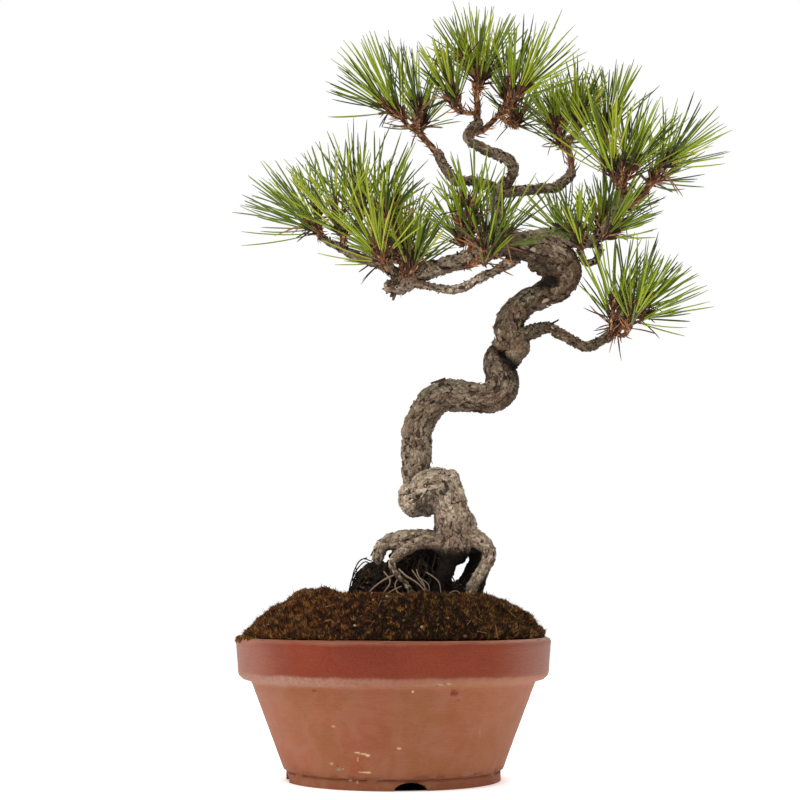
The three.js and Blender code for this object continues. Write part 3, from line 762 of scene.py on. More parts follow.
def plain_finish(name, colour, roughness=0.6, specular=0.3):
    """A finish of one plain colour, for small things that are dealt out by the thousand."""
    material, tree, shader, where = new_material(name, roughness, specular)
    shader.inputs["Base Color"].default_value = paint(*colour)
    return material


def finishes(kind, rows):
    """Plain finishes of one kind, from rows of name, colour, roughness and shine."""
    return [plain_finish(f"{kind}_{name}", *row) for name, *row in rows]


print("small shapes can be repeated")


# %% Scatter places over a surface
def scattered(piece, count, chance, keep):
    """Random places on a mesh, in millimetres, with the way its surface faces."""
    piece.data.calc_loop_triangles()
    triangles = piece.data.loop_triangles
    corners = np.empty(len(triangles) * 3, np.int32)
    triangles.foreach_get("vertices", corners)
    spots = read_points(piece.data)[corners.reshape(-1, 3)] / MM
    across = np.cross(spots[:, 1] - spots[:, 0], spots[:, 2] - spots[:, 0])
    area = np.linalg.norm(across, axis=1) * keep(spots.mean(axis=1), unit(across))
    chosen = chance.choice(len(area), count, p=area / area.sum())
    first, second = np.sort(chance.random((2, count)), axis=0)[:, :, None]
    picked = spots[chosen]
    spots = picked[:, 0] * first + picked[:, 1] * (second - first) + picked[:, 2] * (1 - second)
    return spots, unit(across)[chosen]


print("places can be scattered")

# %% Grow the moss
moss_tones = finishes("moss", [
    ("dark", (34, 22, 13), 0.95, 0.1),
    ("umber", (68, 39, 20), 0.9, 0.15),
    ("green", (62, 60, 22), 0.9, 0.15),
    ("rust", (112, 62, 30), 0.9, 0.15),
    ("olive", (104, 84, 30), 0.9, 0.15),
    ("gold", (150, 108, 48), 0.9, 0.15),
])
blade, blade_faces = pattern_of(spike(3, 1, 0, capped=False))
# Rows of shares: the dry left, the wet and shaded front, and the right.
shares_of_moss = np.array([
    [0.32, 0.30, 0.04, 0.25, 0.03, 0.06],
    [0.56, 0.22, 0.05, 0.10, 0.05, 0.02],
    [0.42, 0.26, 0.08, 0.12, 0.07, 0.05],
])
carpets = 2
carpet_count = 36000
for number in range(carpets):
    chance = np.random.default_rng(31 + number)
    spots, ways = scattered(
        heap, carpet_count, chance,
        lambda at, way: (at[:, 2] > pot["height"] + 0.6) * 1.0,
    )
    ways = unit(ways * 0.8 + [0, 0, 0.5] + chance.normal(0, 0.42, ways.shape))
    patch = noise_at(spots * MM, 75, 2, 2.0)
    clump = noise_at(spots * MM, 330, 2, 12.0)
    # The front of the heap is the darkest, partly wet moss and partly painted shade.
    wet_and_shaded = np.exp(-(((spots[:, 0] - 8) / 44) ** 2 + ((spots[:, 1] + 84) / 30) ** 2))
    right = smooth_step(spots[:, 0] + 30 * patch, -8, 44)
    mood = np.stack([(1 - right) * (1 - wet_and_shaded), wet_and_shaded, right * (1 - wet_and_shaded)], axis=1)
    odds = np.cumsum(mood @ shares_of_moss, axis=1)
    draw = np.clip(0.5 + 0.62 * clump + 0.62 * (chance.random(len(spots)) - 0.5), 0, 0.999)
    tones = (draw[:, None] > odds).sum(axis=1).clip(0, len(moss_tones) - 1)
    tufted = chance.random(len(spots)) < 0.05
    tall = (1.9 + 1.2 * chance.random(len(spots)) + 1.2 * clump + 0.5 * patch) * (1 - 0.3 * wet_and_shaded)
    tall = np.maximum(tall, 0.9) * np.where(tufted, 1.5, 1.0)
    wide = 0.34 + 0.2 * chance.random(len(spots))
    sizes = np.stack([wide, wide, tall], axis=1)
    copies = stood_up(blade, spots - 0.2 * ways, ways, sizes, chance.random(len(spots)) * 6.3)
    carpet = repeated(f"moss_carpet_{number + 1}", blade_faces, copies, tones, moss_tones)
    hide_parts("soil_mound")
    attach(carpet, "root")

# %% Let the moss creep over the rim
spill_count = 2600
chance = np.random.default_rng(33)
spots, ways = scattered(
    pot_wall, spill_count, chance,
    lambda at, way: ((at[:, 2] > 85) & (at[:, 0] < -80) & (np.abs(at[:, 1]) < 46) & (way[:, 2] > -0.1)) * 1.0,
)
kept = noise_at(spots * MM, 120, 2, 6.0) + (spots[:, 2] - 87) / 4 > 0.1
spots, ways = spots[kept], unit(ways[kept] + [0, 0, 0.6] + chance.normal(0, 0.45, (kept.sum(), 3)))
sizes = chance.uniform((0.3, 0.3, 0.7), (0.6, 0.6, 2.2), (len(spots), 3))
copies = stood_up(blade, spots - 0.2 * ways, ways, sizes, chance.random(len(spots)) * 6.3)
tones = chance.choice(len(moss_tones), len(spots), p=[0.16, 0.22, 0.06, 0.22, 0.14, 0.2])
spill = repeated("moss_spill", blade_faces, copies, tones, moss_tones)
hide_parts("soil_mound")
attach(spill, "root")

# %% Strew grit and dry litter
chance = np.random.default_rng(47)
grit_form = bmesh.new()
bmesh.ops.create_icosphere(grit_form, subdivisions=1, radius=1)
grit, grit_faces = pattern_of(grit_form)
grit_count = 420
spots, ways = scattered(
    heap, grit_count, chance,
    lambda at, way: (at[:, 2] > pot["height"] + 2) * np.where(at[:, 2] > 111, 2.2, 0.8),
)
grit_sizes = chance.uniform(0.4, 1.25, (grit_count, 1)) * chance.uniform(0.6, 1.2, (grit_count, 3))
copies = stood_up(grit, spots + ways * 1.2, ways, grit_sizes, chance.random(grit_count) * 6.3)
copies += chance.normal(0, 0.12, copies.shape)
grit_tones = finishes("grit", [
    ("pale", (178, 148, 122), 0.8),
    ("brown", (98, 68, 46), 0.85),
    ("black", (34, 24, 18), 0.9),
])
tones = chance.choice(3, grit_count, p=[0.16, 0.44, 0.4])
gravel = repeated("soil_grit", grit_faces, copies, tones, grit_tones)

straw_form = bmesh.new()
bmesh.ops.create_cone(straw_form, cap_ends=True, segments=4, radius1=0.5, radius2=0.3, depth=1)
straw, straw_faces = pattern_of(straw_form)
straw_count = 170
spots, ways = scattered(heap, straw_count, chance, lambda at, way: (at[:, 2] > pot["height"] + 3) * 1.0)
flat = unit(np.cross(ways, chance.normal(0, 1, ways.shape)) + 0.16 * ways)
straw_sizes = chance.uniform((0.4, 0.3, 2.0), (0.75, 0.5, 9.0), (straw_count, 3))
copies = stood_up(straw, spots + ways * 2.0, flat, straw_sizes, chance.random(straw_count) * 6.3)
straw_tones = finishes("litter", [
    ("tan", (156, 116, 74), 0.85),
    ("brown", (112, 68, 42), 0.85),
])
tones = chance.choice(2, straw_count, p=[0.4, 0.6])
litter = repeated("dry_litter", straw_faces, copies, tones, straw_tones)
for small in (gravel, litter):
    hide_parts("soil_mound")
    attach(small, "root")

# %% [markdown]
# ## The limbs as lines
#
# A limb that has been wired for years runs in smooth bends. So each one is kept as a line of places
# with a radius, the same lines that the solids were made from, and a spline goes through them. A few
# differ by a millimetre or two: two inner roots are slimmer, so that light shows between them, the
# stem is slimmer above and below its crease, and its foot lies further back, so that the fold can
# close in front of it. Plain lumps stand where the old wood swells: the knuckle, the hip, the lobe
# under the crease and the inside of a bend.
#
# Walking along the spline in even steps gives the rings of the limb. Two directions across the line
# are carried along it without twist, so that the bark doesn't spiral by accident.

# %% Repeat the routes of the limbs
stump_route = [
    (37, 1, 143, 10.5), (38, 0, 147, 12.6), (39, 0, 153, 12.8), (38, -1, 164, 12),
    (35.2, -3, 178, 10.6), (34, -5, 188, 8.4), (33, -5, 192, 4),
]
stem_route = [
    (31, 0, 179, 6.5), (23, 2.5, 181, 7.2), (15.5, 6, 186, 8), (14.2, 9.5, 194, 8.8), (15, 12, 202, 9.6),
    (15, 14, 211, 10), (16, 14, 223, 9.6), (21, 13, 235, 10), (30, 11, 244, 10.3), (41, 9, 245, 10.2),
    (54, 7, 243, 9.6), (65, 5, 244, 10.2), (71, 6, 251, 10.8), (69.6, 8, 260, 10.9), (70, 8, 269, 10.6),
    (76, 3, 279, 10.6), (75, 0, 291, 9.5), (83, -1, 302, 8.2), (95.8, -2, 309, 8.4),
    (107, -4, 315, 9.8), (112, -8, 323, 10.2), (107, -12, 332, 10.2), (94, -13, 337, 9.8),
    (83, -12, 340, 9.2), (74, -10, 341, 8),
]
fold_route = [(35.2, -5, 178, 10.2), (30.5, -6, 185.6, 10.2), (22, -6, 185, 10.2), (14, -4.5, 176.5, 9.8)]
stem_lumps = {
    "lobe": {"at": (80, -1, 276), "size": (9.2, 8, 9.5)},
    "lobe_foot": {"at": (78.3, -1, 268), "size": (4.6, 6, 5.4)},
    "inner_bend": {"at": (98.4, -10.5, 325.2), "size": (7, 7, 5.2)},
    "bend_foot": {"at": (102, -9, 320), "size": (5.4, 7, 4.2)},
    "bend_brow": {"at": (92.5, -12, 327.5), "size": (5.6, 7, 4.8)},
}
crown_lumps = {
    "knuckle": {"at": (13.5, -3.5, 176.5), "size": (10.4, 9.5, 12)},
    "shoulder": {"at": (11.8, -4, 181), "size": (8, 8, 6.6)},
    "gap_fill": {"at": (21.5, -4, 171.5), "size": (6, 7, 6.5)},
    "crest": {"at": (37, -5, 188.5), "size": (5.6, 7, 7.2)},
    "hip": {"at": (40.6, -1, 156), "size": (13, 10, 18)},
    "web": {"at": (2, -4, 146.5), "size": (7, 4.5, 3.2)},
}
root_heaps = [
    {"at": (-3, -1, 114), "size": (24.5, 16.5, 21.5)},
    {"at": (-11, -2, 121), "size": (10.5, 11.5, 15)},
    {"at": (38, 1, 114), "size": (9.5, 8.5, 9)},
    {"at": (2.2, -2, 137), "size": (4.4, 5, 7)},
]
outer_roots = [
    [(47, -2, 154, 7), (56, -4, 148.8, 5.4), (60.5, -6, 144, 4.5), (60.5, -7, 138.5, 4.1),
     (56.5, -8, 131, 3.8), (51.5, -9, 124, 3.6), (47, -9, 112, 3.4)],
    [(48, 6, 154, 5), (58, 9, 146, 4.6), (58.5, 11, 137, 4.4), (56, 12, 126, 4), (52.5, 12, 112, 3.8)],
    [(33, 2, 149, 6.5), (21, 1, 152, 5), (9, -2, 152.5, 4.3), (0, -3, 151, 4.1), (-6, -4, 147.5, 4.2),
     (-9.5, -5, 142, 4.2), (-10, -6, 135, 3.6), (-12, -7, 126, 3), (-15, -8, 112, 2.6)],
    [(32, -4, 147, 5.5), (20, -9, 149, 4.2), (11, -13, 146, 3.6), (3, -15, 140.5, 3.2),
     (-1, -16, 136, 2.3), (2, -18, 128.5, 1.5), (8, -19, 122, 1.2), (15, -20, 112, 1.2)],
]
inner_roots = [
    [(43, 3, 150, 7), (52.5, 4, 141, 4.2), (49, 4, 131, 3.6), (44.5, 3, 123, 3.8), (41, 2, 112, 4.8)],
    [(36, 2, 147, 9), (26, 4, 139, 7.4), (20, 5, 129, 7), (16, 6, 112, 7)],
    [(39, 0, 146, 9), (34.8, -3, 137, 5.8), (32.4, -5, 130, 5.8), (28, -6, 122, 5.6), (27, -7, 112, 8)],
    [(30, 4, 145, 7), (15, 6, 138, 6.4), (4, 7, 131, 6.4), (-3, 8, 112, 6)],
]
limb_routes = {
    "bough_left": [
        (77, -10, 341, 7), (67, -9, 339, 6.6), (58, -8, 336, 6.2), (46, -6, 332, 5.8),
        (33, -5, 328, 5.4), (20, -4, 323, 5), (10, -4, 318, 5.8), (2, -4, 315, 6.8), (-3, -4, 314, 4.4)],
    "leader": [
        (78, -6, 341, 6), (71, 2, 354, 4.6), (68, 8, 369, 4.2), (70, 10, 381, 4), (76, 9, 388, 3.7),
        (79, 6, 394, 3.6), (77, 3, 399, 3.6), (70, 2, 403, 3.5), (61, 0, 406, 3.4),
        (53, -2, 410, 3.3), (49, -2, 414, 3.2), (51, 0, 420, 3.1), (56, 1, 425, 3)],
    "bough_left_tip": [
        (3, -4, 321, 4), (-6, -6, 328, 3.5), (-15, -8, 330.5, 3.2), (-25, -8, 334, 2.9),
        (-35, -6, 340, 2.6), (-43, -4, 344.5, 2.3), (-49, -2, 350, 2)],
    "bough_left_under": [
        (79, -7, 332, 4), (67, -14, 324, 3), (55, -18, 317, 2.7), (44, -19, 311, 2.6),
        (36, -18, 310, 2.5), (27, -15, 312, 2.5), (18, -9, 315, 2.5), (8, -4, 317, 2.5)],
    "bough_right": [
        (84, -13, 343, 6), (98, -17, 345, 4.6), (107, -18, 343, 4.1), (119, -16, 341, 3.8),
        (130, -12, 344, 3.6), (138, -8, 351, 3.5), (143, -4, 360, 3.4), (148, -2, 368, 3.3),
        (153, 0, 373, 3.2)],
    "bough_top_left": [
        (70, 10, 381, 3.6), (60, 8, 385, 3.5), (50, 6, 387, 3.4), (42, 4, 386, 3.3), (37, 4, 391, 3.3),
        (32, 5, 399, 3.1), (29, 6, 406, 3)],
    "bough_top_right": [
        (70, 10, 380, 3.6), (84, 13, 382, 3.5), (97, 16, 384, 3.4), (107, 17, 385, 3.3),
        (115, 17, 391, 3.2), (119, 17, 396, 3)],
    "bough_lower_right": [
        (79, -2, 282, 6.4), (90, -5, 285, 4.6), (100, -7, 287, 3.4), (107, -8, 283, 3.3),
        (116, -8, 278, 3.2), (125, -6, 275, 3.1), (134, -4, 279, 3), (139, -3, 282, 2.8)],
    "bough_back_left": [(33, -5, 328, 3.4), (25, 12, 332, 3), (16, 26, 333, 2.7), (6, 38, 338, 2.4)],
    "bough_back_centre": [(73, -2, 348, 3.4), (66, 14, 343, 3), (60, 26, 345, 2.6), (54, 34, 350, 2.4)],
    "bough_back_right": [
        (94, -12, 338, 4), (99, 6, 350, 3.2), (109, 20, 351, 2.8), (119, 33, 353, 2.5),
        (126, 40, 358, 2.3)],
    "twig_right": [
        (119, -16, 341, 2), (121, -14, 334, 2), (124, -10, 329, 2), (130, -11, 330, 1.9),
        (133, -12, 335, 1.8), (133, -11, 340, 1.7)],
}
print(len(limb_routes), "limbs and", len(outer_roots) + len(inner_roots), "roots")


# %% Walk along a route
def walked(route, step):
    """Rows of x, y, z, radius and length run, in even steps on a smooth line through a route."""
    stops = np.array(route, float)
    spots = stops[:, :3]
    spots = np.vstack([2 * spots[0] - spots[1], spots, 2 * spots[-1] - spots[-2]])
    share = np.linspace(0, 1, 16, endpoint=False)[:, None]
    rows = []
    for number in range(len(stops) - 1):
        before, start, end, after = spots[number:number + 4]
        gaps = [math.dist(a, b) ** 0.5 for a, b in ((before, start), (start, end), (end, after))]
        d0, d1, d2 = gaps
        leave = ((start - before) / d0 - (end - before) / (d0 + d1) + (end - start) / d1) * d1
        arrive = ((end - start) / d1 - (after - start) / (d1 + d2) + (after - end) / d2) * d1
        at = (2 * share**3 - 3 * share**2 + 1) * start + (share**3 - 2 * share**2 + share) * leave
        at += (3 * share**2 - 2 * share**3) * end + (share**3 - share**2) * arrive
        rows.append(np.hstack([at, stops[number, 3] + (stops[number + 1, 3] - stops[number, 3]) * share]))
    line = np.vstack(rows + [stops[-1:]])
    run = np.concatenate([[0], np.cumsum(np.linalg.norm(np.diff(line[:, :3], axis=0), axis=1))])
    even = np.linspace(0, run[-1], max(2, math.ceil(run[-1] / step)) + 1)
    return np.column_stack([np.interp(even, run, line[:, k]) for k in range(4)] + [even])


def across_of(line):
    """The way a line runs at each step, and two directions across it, carried along without twist."""
    ways = unit(np.gradient(line[:, :3], axis=0))
    side = np.cross(ways[0], (0.3, 1, 0.2))
    sides = []
    for way in ways:
        side = side - way * side.dot(way)
        side = side / np.linalg.norm(side)
        sides.append(side)
    sides = np.array(sides)
    return ways, sides, np.cross(ways, sides)


def add_limb(form, route, sides, step, bluntness=0.8):
    """Bends a grid round a route into a closed tube with rounded ends."""
    line = walked(route, step)
    ways, side, over = across_of(line)
    turns = np.linspace(0, math.pi / 2, 5)[1:]
    rings = [(line[0, :3] - ways[0] * line[0, 3] * bluntness * math.sin(t), line[0, 3] * math.cos(t), 0)
             for t in turns[::-1]]
    rings += [(row[:3], row[3], number) for number, row in enumerate(line)]
    last = len(line) - 1
    end, blunt = line[-1], line[-1, 3] * bluntness
    rings += [(end[:3] + ways[-1] * blunt * math.sin(t), end[3] * math.cos(t), last) for t in turns]
    grid = bmesh.ops.create_grid(form, x_segments=len(rings) - 1, y_segments=sides, size=0.5)["verts"]
    for corner in grid:
        centre, radius, number = rings[round((corner.co.x + 0.5) * (len(rings) - 1))]
        angle = 2 * math.pi * (corner.co.y + 0.5)
        reach = math.cos(angle) * side[number] + math.sin(angle) * over[number]
        corner.co = Vector(centre + radius * reach) * MM
    bmesh.ops.remove_doubles(form, verts=grid, dist=0.002 * MM)


def tubes(name, routes, sides, step, material):
    """One smooth mesh of limbs that only lie beside each other."""
    form = bmesh.new()
    for route in routes:
        add_limb(form, route, sides, step)
    bmesh.ops.recalc_face_normals(form, faces=form.faces)
    piece = new_object(name, form, material)
    piece.data.shade_smooth()
    return piece


print("limbs can be bent")

# %% [markdown]
# ## Bark
#
# Pine bark cracks into plates as the wood below it swells, and each plate is a stack of thin flakes
# that lift at an edge. A Voronoi pattern gives such plates: its cells are the plates, and the
# difference between its two nearest distances falls to zero in the cracks. The pattern is read in the
# straightened limb, where it can be stretched along the grain, and it pushes the points of a fine mesh
# in and out, so that the cracks also show in the outline. A second, smaller pattern makes the flakes
# on a plate. Where a point lies in the straightened limb is kept as an attribute too, so that the
# finish can draw still finer chips along the grain, and so are how far the bark faces the big lamp on
# the left and how much near wood hides it, so that the finish can paint light and shade: paler bark
# facing the lamp, darker bark facing away or hidden.


# %% Crack the bark into plates
# Blender's vector noise is laid out by the clock, unless it is given a seed.
noise.seed_set(11)

# Limbs lie this far apart along the pattern of the bark, and points are compared in parts of this size.
limb_shift = 61.0
part_size = 20000


def straightened(points, lines):
    """Where each point lies in its limb as if that ran straight, the limb's number and its way there."""
    depth = np.full(len(points), np.inf)
    place_in_limb = np.zeros((len(points), 3))
    alongs = np.zeros((len(points), 3))
    owner = np.zeros(len(points), int)
    for number, line in enumerate(lines):
        ways, side, over = across_of(line)
        near = np.concatenate([
            np.argmin(((part[:, None] - line[None, :, :3]) ** 2).sum(axis=2), axis=1)
            for part in np.array_split(points, 1 + len(points) // part_size)
        ])
        offset = points - line[near, :3]
        above_bark = np.linalg.norm(offset, axis=1) - line[near, 3]
        nearer = above_bark < depth
        depth[nearer] = above_bark[nearer]
        owner[nearer] = number
        read = [(offset * axis[near]).sum(axis=1) for axis in (side, over, ways)]
        read[2] += line[near, 4] + limb_shift * number
        place_in_limb[nearer] = np.stack(read, axis=1)[nearer]
        alongs[nearer] = ways[near][nearer]
    return place_in_limb, owner, alongs


def plates_at(spots, size, stretch):
    """How far each spot is from a crack, a number for its plate, and how the plate tilts there."""
    rows = []
    for x, y, z in spots / size:
        spot = Vector((x, y, z / stretch))
        spot += noise.noise_vector(spot * 1.3) * 0.36 + noise.noise_vector(spot * 4.1) * 0.13
        near, centres = noise.voronoi(spot)
        rows.append((near[1] - near[0], *centres[0], *(spot - centres[0])))
    rows = np.array(rows)
    centres, inside_plate = rows[:, 1:4], rows[:, 4:]
    number = (centres @ [91.7, 57.3, 33.1]) % 1.0
    lean_ways = ([31, 67, 43], [83, 29, 59], [47, 53, 97])
    lean = np.stack([(centres @ way) % 1.0 - 0.5 for way in lean_ways], axis=1)
    return rows[:, 0], number, (inside_plate * lean).sum(axis=1) * 2


def keep_attribute(mesh, name, values):
    """Writes a number, or a place, for every point, for the finish to read."""
    values = np.asarray(values, np.float32)
    if values.ndim == 1:
        mesh.attributes.new(name, "FLOAT", "POINT").data.foreach_set("value", values)
    else:
        mesh.attributes.new(name, "FLOAT_VECTOR", "POINT").data.foreach_set("vector", values.ravel())


# The way towards the big lamp on the left: bark facing it is painted paler, bark facing away darker, and
# flakes facing away stay dark.
TOWARD_LIGHT = unit(np.array([-0.45, -0.2, 0.87]))
look_up = {"ways": 6, "reach": 42.0, "start": 1.2, "rounds": 10}


def hidden_from_light(mesh, points, facing):
    """How much of the sky over each point is hidden by near wood, from 0 to 1, evened out over the mesh, for
    painted shade.
    """
    chance = np.random.default_rng(40)
    spread = unit(chance.normal(0, 1, (len(points), look_up["ways"], 3)))
    ways = unit(facing[:, None, :] * 1.1 + TOWARD_LIGHT * 0.35 + spread)
    shade = np.zeros(len(points))
    for number, (spot, way_set) in enumerate(zip(points + facing * look_up["start"], ways)):
        start = Vector(spot)
        for way in way_set:
            reach = rough_wood.ray_cast(start, Vector(way), look_up["reach"])[3]
            if reach is not None:
                shade[number] += (1 - reach / look_up["reach"]) / look_up["ways"]
    ends = np.empty(len(mesh.edges) * 2, np.int32)
    mesh.edges.foreach_get("vertices", ends)
    ends = ends.reshape(-1, 2)
    both = np.concatenate([ends[:, 0], ends[:, 1]])
    other = np.concatenate([ends[:, 1], ends[:, 0]])
    edges_at = np.bincount(both, minlength=len(points))
    for step in range(look_up["rounds"]):
        shade = (shade + np.bincount(both, shade[other], len(points)) / edges_at) / 2
    return shade


def facing_of(mesh):
    """The way that the skin faces at every point."""
    facing = np.empty(len(mesh.vertices) * 3)
    mesh.vertex_normals.foreach_get("vector", facing)
    return facing.reshape(-1, 3)


def bark_over(piece, lines, plate, relief, stretch=1.6, seed=0.0):
    """Breaks a smooth piece of wood into barky plates, and keeps what the finish needs to know."""
    mesh = piece.data
    points = read_points(mesh) / MM
    facing = facing_of(mesh)
    spots, owner, alongs = straightened(points, lines)
    spots = spots + seed
    plate = plate(owner, points) if callable(plate) else np.full(len(points), plate)
    relief = relief(owner, points) if callable(relief) else np.full(len(points), relief)
    gap_wide, number, tilt = plates_at(spots / plate[:, None], 1.0, stretch)
    gap_fine, small, small_tilt = plates_at(spots / plate[:, None] + 40.0, 0.4, 1.5)
    grown_over = smooth_step(noise_at(spots, 0.13, 2, 6.0), 0.22, -0.12)
    crack = 1 - (1 - smooth_step(gap_wide, 0.01, 0.13)) * grown_over
    fine = smooth_step(gap_fine, 0.0, 0.2)
    height = (crack - 1) * 0.9 + (number - 0.45) * 0.6 + tilt * 0.9
    height += (fine - 1) * 0.35 + (small - 0.5) * 0.85 + small_tilt * 0.7
    height += noise_at(spots, 0.09, 2, 3.0) * 0.9
    moved = points + facing * (height * relief)[:, None]
    write_points(mesh, moved * MM)
    keep_attribute(mesh, "crack", crack)
    keep_attribute(mesh, "chip_edge", fine)
    keep_attribute(mesh, "plate", number * 0.5 + small * 0.5)
    keep_attribute(mesh, "lift", np.clip(0.5 + tilt * 0.5 + small_tilt * 0.6, 0, 1))
    keep_attribute(mesh, "toward_light", facing @ TOWARD_LIGHT)
    keep_attribute(mesh, "occlusion_shade", hidden_from_light(mesh, points, facing))
    keep_attribute(mesh, "along_grain", spots)
    mesh.shade_smooth()
    return owner, moved


print("bark can be cracked")

# %% [markdown]
# The stem and the root crown are made apart, because the stem really does climb out behind the fold
# of the old stump. Each starts as plain tubes and lumps, a voxel remesh melts these into one skin with
# even faces, and smoothing takes the steps of the voxels off before the bark goes on.
#
# The skin also keeps how much painted shade each place has, and no flake of bark is laid where that shade is
# painted.


# %% Melt limbs into one skin
thick_limb = 6.9


def melted(name, routes, lumps, voxel):
    """One closed skin round some limbs and lumps."""
    form = bmesh.new()
    for route in routes:
        add_limb(form, route, 28 if route[0][3] > thick_limb else 16, 2.0)
    for lump in lumps:
        bump = bmesh.ops.create_icosphere(form, subdivisions=3, radius=1)["verts"]
        bmesh.ops.scale(form, vec=Vector(lump["size"]) * MM, verts=bump)
        bmesh.ops.translate(form, vec=Vector(lump["at"]) * MM, verts=bump)
    bmesh.ops.recalc_face_normals(form, faces=form.faces)
    piece = new_object(name, form)
    fuse = piece.modifiers.new("fuse", "REMESH")
    fuse.mode = "VOXEL"
    fuse.voxel_size = voxel * MM
    even_out = piece.modifiers.new("even_out", "SMOOTH")
    even_out.factor = 0.5
    even_out.iterations = 6
    finished(piece)
    print(name, "has", len(piece.data.polygons), "faces before its bark")
    return piece


rough_form = bmesh.new()
for route in [stem_route, stump_route, fold_route, *outer_roots, *inner_roots, *limb_routes.values()]:
    add_limb(rough_form, [(x / MM, y / MM, z / MM, radius / MM) for x, y, z, radius in route], 10, 4.0 / MM)
rough_wood = BVHTree.FromBMesh(rough_form)
rough_form.free()
heap_route = [(x, -1, 115, 16) for x in (-16, -3, 8)]
crown_routes = [stump_route, fold_route] + outer_roots + inner_roots
inner_first = 2 + len(outer_roots)
stem_line = [walked(stem_route, 2.0)]
crown_lines = [walked(route, 2.0) for route in crown_routes + [heap_route]]
skin_voxel = 0.66
stem = melted("stem_bark", [stem_route], stem_lumps.values(), skin_voxel)
crown = melted("root_crown_bark", crown_routes, [*crown_lumps.values(), *root_heaps], skin_voxel)


# %% Bark the stem and the root crown
def crown_plate(owner, points):
    """Plates are small on the gnarled stump and smaller on the roots."""
    return np.where(owner < 2, 4.4, 3.2)


def crown_relief(owner, points):
    """The heap of fine roots is the most uneven."""
    return np.select([owner < 2, owner == len(crown_routes)], [0.85, 1.5], 0.55)


def near_to(points, spots):
    """How near each point is to the closest of some soft spots, from 0 to 1, by each one's strength."""
    rows = [
        smooth_step(np.linalg.norm((points - spot["at"]) / spot["size"], axis=1), 1.3, 0.6) * spot["strength"]
        for spot in spots
    ]
    return np.max(rows, axis=0)


# Where the upper stem folds over the lower bend, the skin steps out above a line and in below it.
crease = {"from": np.array([64.0, 276.0]), "to": np.array([82.0, 260.5]), "over": 1.7, "under": 1.9}
points = read_points(stem.data) / MM
facing = facing_of(stem.data)
run = crease["to"] - crease["from"]
long = np.linalg.norm(run)
offset = points[:, [0, 2]] - crease["from"]
share = offset @ run / long**2
above = (offset @ [-run[1], run[0]]) / long
near = smooth_step(share, -0.1, 0.3) * smooth_step(share, 1.1, 0.7) * smooth_step(facing[:, 1], 0.2, -0.4)
swell = crease["over"] * np.exp(-np.maximum(above, 0) / 7)
dip = crease["under"] * np.exp(np.minimum(above, 0) / 3.2)
points += facing * (np.where(above > 0, swell, -dip) * near)[:, None]
write_points(stem.data, points * MM)
# Painted shadow: below the crease line, and a little above it, the skin is painted dark as the shadow of the
# fold.
in_front = smooth_step(facing[:, 1], 0.9, 0.3)
along_crease = smooth_step(share, -0.25, 0.0) * smooth_step(share, 1.3, 1.05) * in_front
shadow_wide = np.where(above > 0, 0.9 + 2.0 * np.clip(share, 0, 1), 2.6 + 5.2 * np.clip(share, 0, 1))
in_crease = 0.97 * along_crease * np.exp(-((above / shadow_wide) ** 2))

# The stem is also painted dark as shade where it comes out from behind the fold and inside its upper bend,
# and the top of that bend is painted paler as light.
fold_line = walked(fold_route, 1.0)
fold_gap = np.min([np.linalg.norm(points - row[:3], axis=1) - row[3] for row in fold_line], axis=0)
stem_shades = [
    {"at": (99, -14, 316), "size": (9, 10, 4.4), "strength": 0.95},
    {"at": (97, -16, 323), "size": (8, 10, 5), "strength": 0.5},
    {"at": (81, -12, 336), "size": (9, 10, 5), "strength": 0.45},
    {"at": (90, -16, 332), "size": (15, 12, 9), "strength": 0.3},
]
stem_lights = [{"at": (111, -18, 338), "size": (15, 14, 9), "strength": 0.6}]
shade = np.maximum(in_crease, 0.85 * smooth_step(fold_gap, 3.2, 0.6))
shade = np.maximum(shade, near_to(points, stem_shades))
light = np.maximum(0.28 * smooth_step(points[:, 2], 235, 205), near_to(points, stem_lights))
owner, points = bark_over(stem, stem_line, plate=6.4, relief=1.0)
keep_attribute(stem.data, "pale", light)
keep_attribute(stem.data, "shade_and_soil", shade)
shaded_skin = [points[shade > 0.4]]

# The fold has small hollows, pushed in and painted dark as shade, and the second root on the right and the
# foot of the left one are painted dark as shade too.
crown_hollows = [
    {"at": (20.5, -11, 169.5), "size": (7, 10, 4.6), "strength": 0.68},
    {"at": (21, -10, 177), "size": (1.7, 9, 4.6), "strength": 0.6},
    {"at": (14, -13, 178), "size": (2.8, 6, 1.5), "strength": 0.5},
    {"at": (9.7, -12, 181), "size": (1.7, 7, 1.4), "strength": 0.85},
    {"at": (-9, -6, 133), "size": (7, 9, 5), "strength": 0.6},
]
points = read_points(crown.data) / MM
hollowed = near_to(points, crown_hollows)
write_points(crown.data, (points - facing_of(crown.data) * (hollowed * 1.6)[:, None]) * MM)

behind = smooth_step(facing_of(crown.data)[:, 1], 0.1, 0.6)
owner, points = bark_over(crown, crown_lines, crown_plate, crown_relief)
in_heap = np.full(len(points), 9.0)
for lump in root_heaps:
    reach = np.linalg.norm((points - lump["at"]) / lump["size"], axis=1)
    in_heap = np.minimum(in_heap, reach)
under_stump = smooth_step(np.hypot((points[:, 0] - 32) / 24, (points[:, 1] - 2) / 16), 1.15, 0.75)
shade_and_soil = np.where(owner >= inner_first, 1.0, 0.0) * smooth_step(points[:, 2], 150, 141)
shade_and_soil = np.maximum(shade_and_soil, under_stump * smooth_step(points[:, 2], 149, 139))
shade_and_soil = np.maximum(shade_and_soil, 0.95 * (owner == 3) * smooth_step(points[:, 2], 146, 135))
# Most of this painted shade is taken off where the skin faces the back.
shade_and_soil = shade_and_soil * (1 - 0.78 * behind)
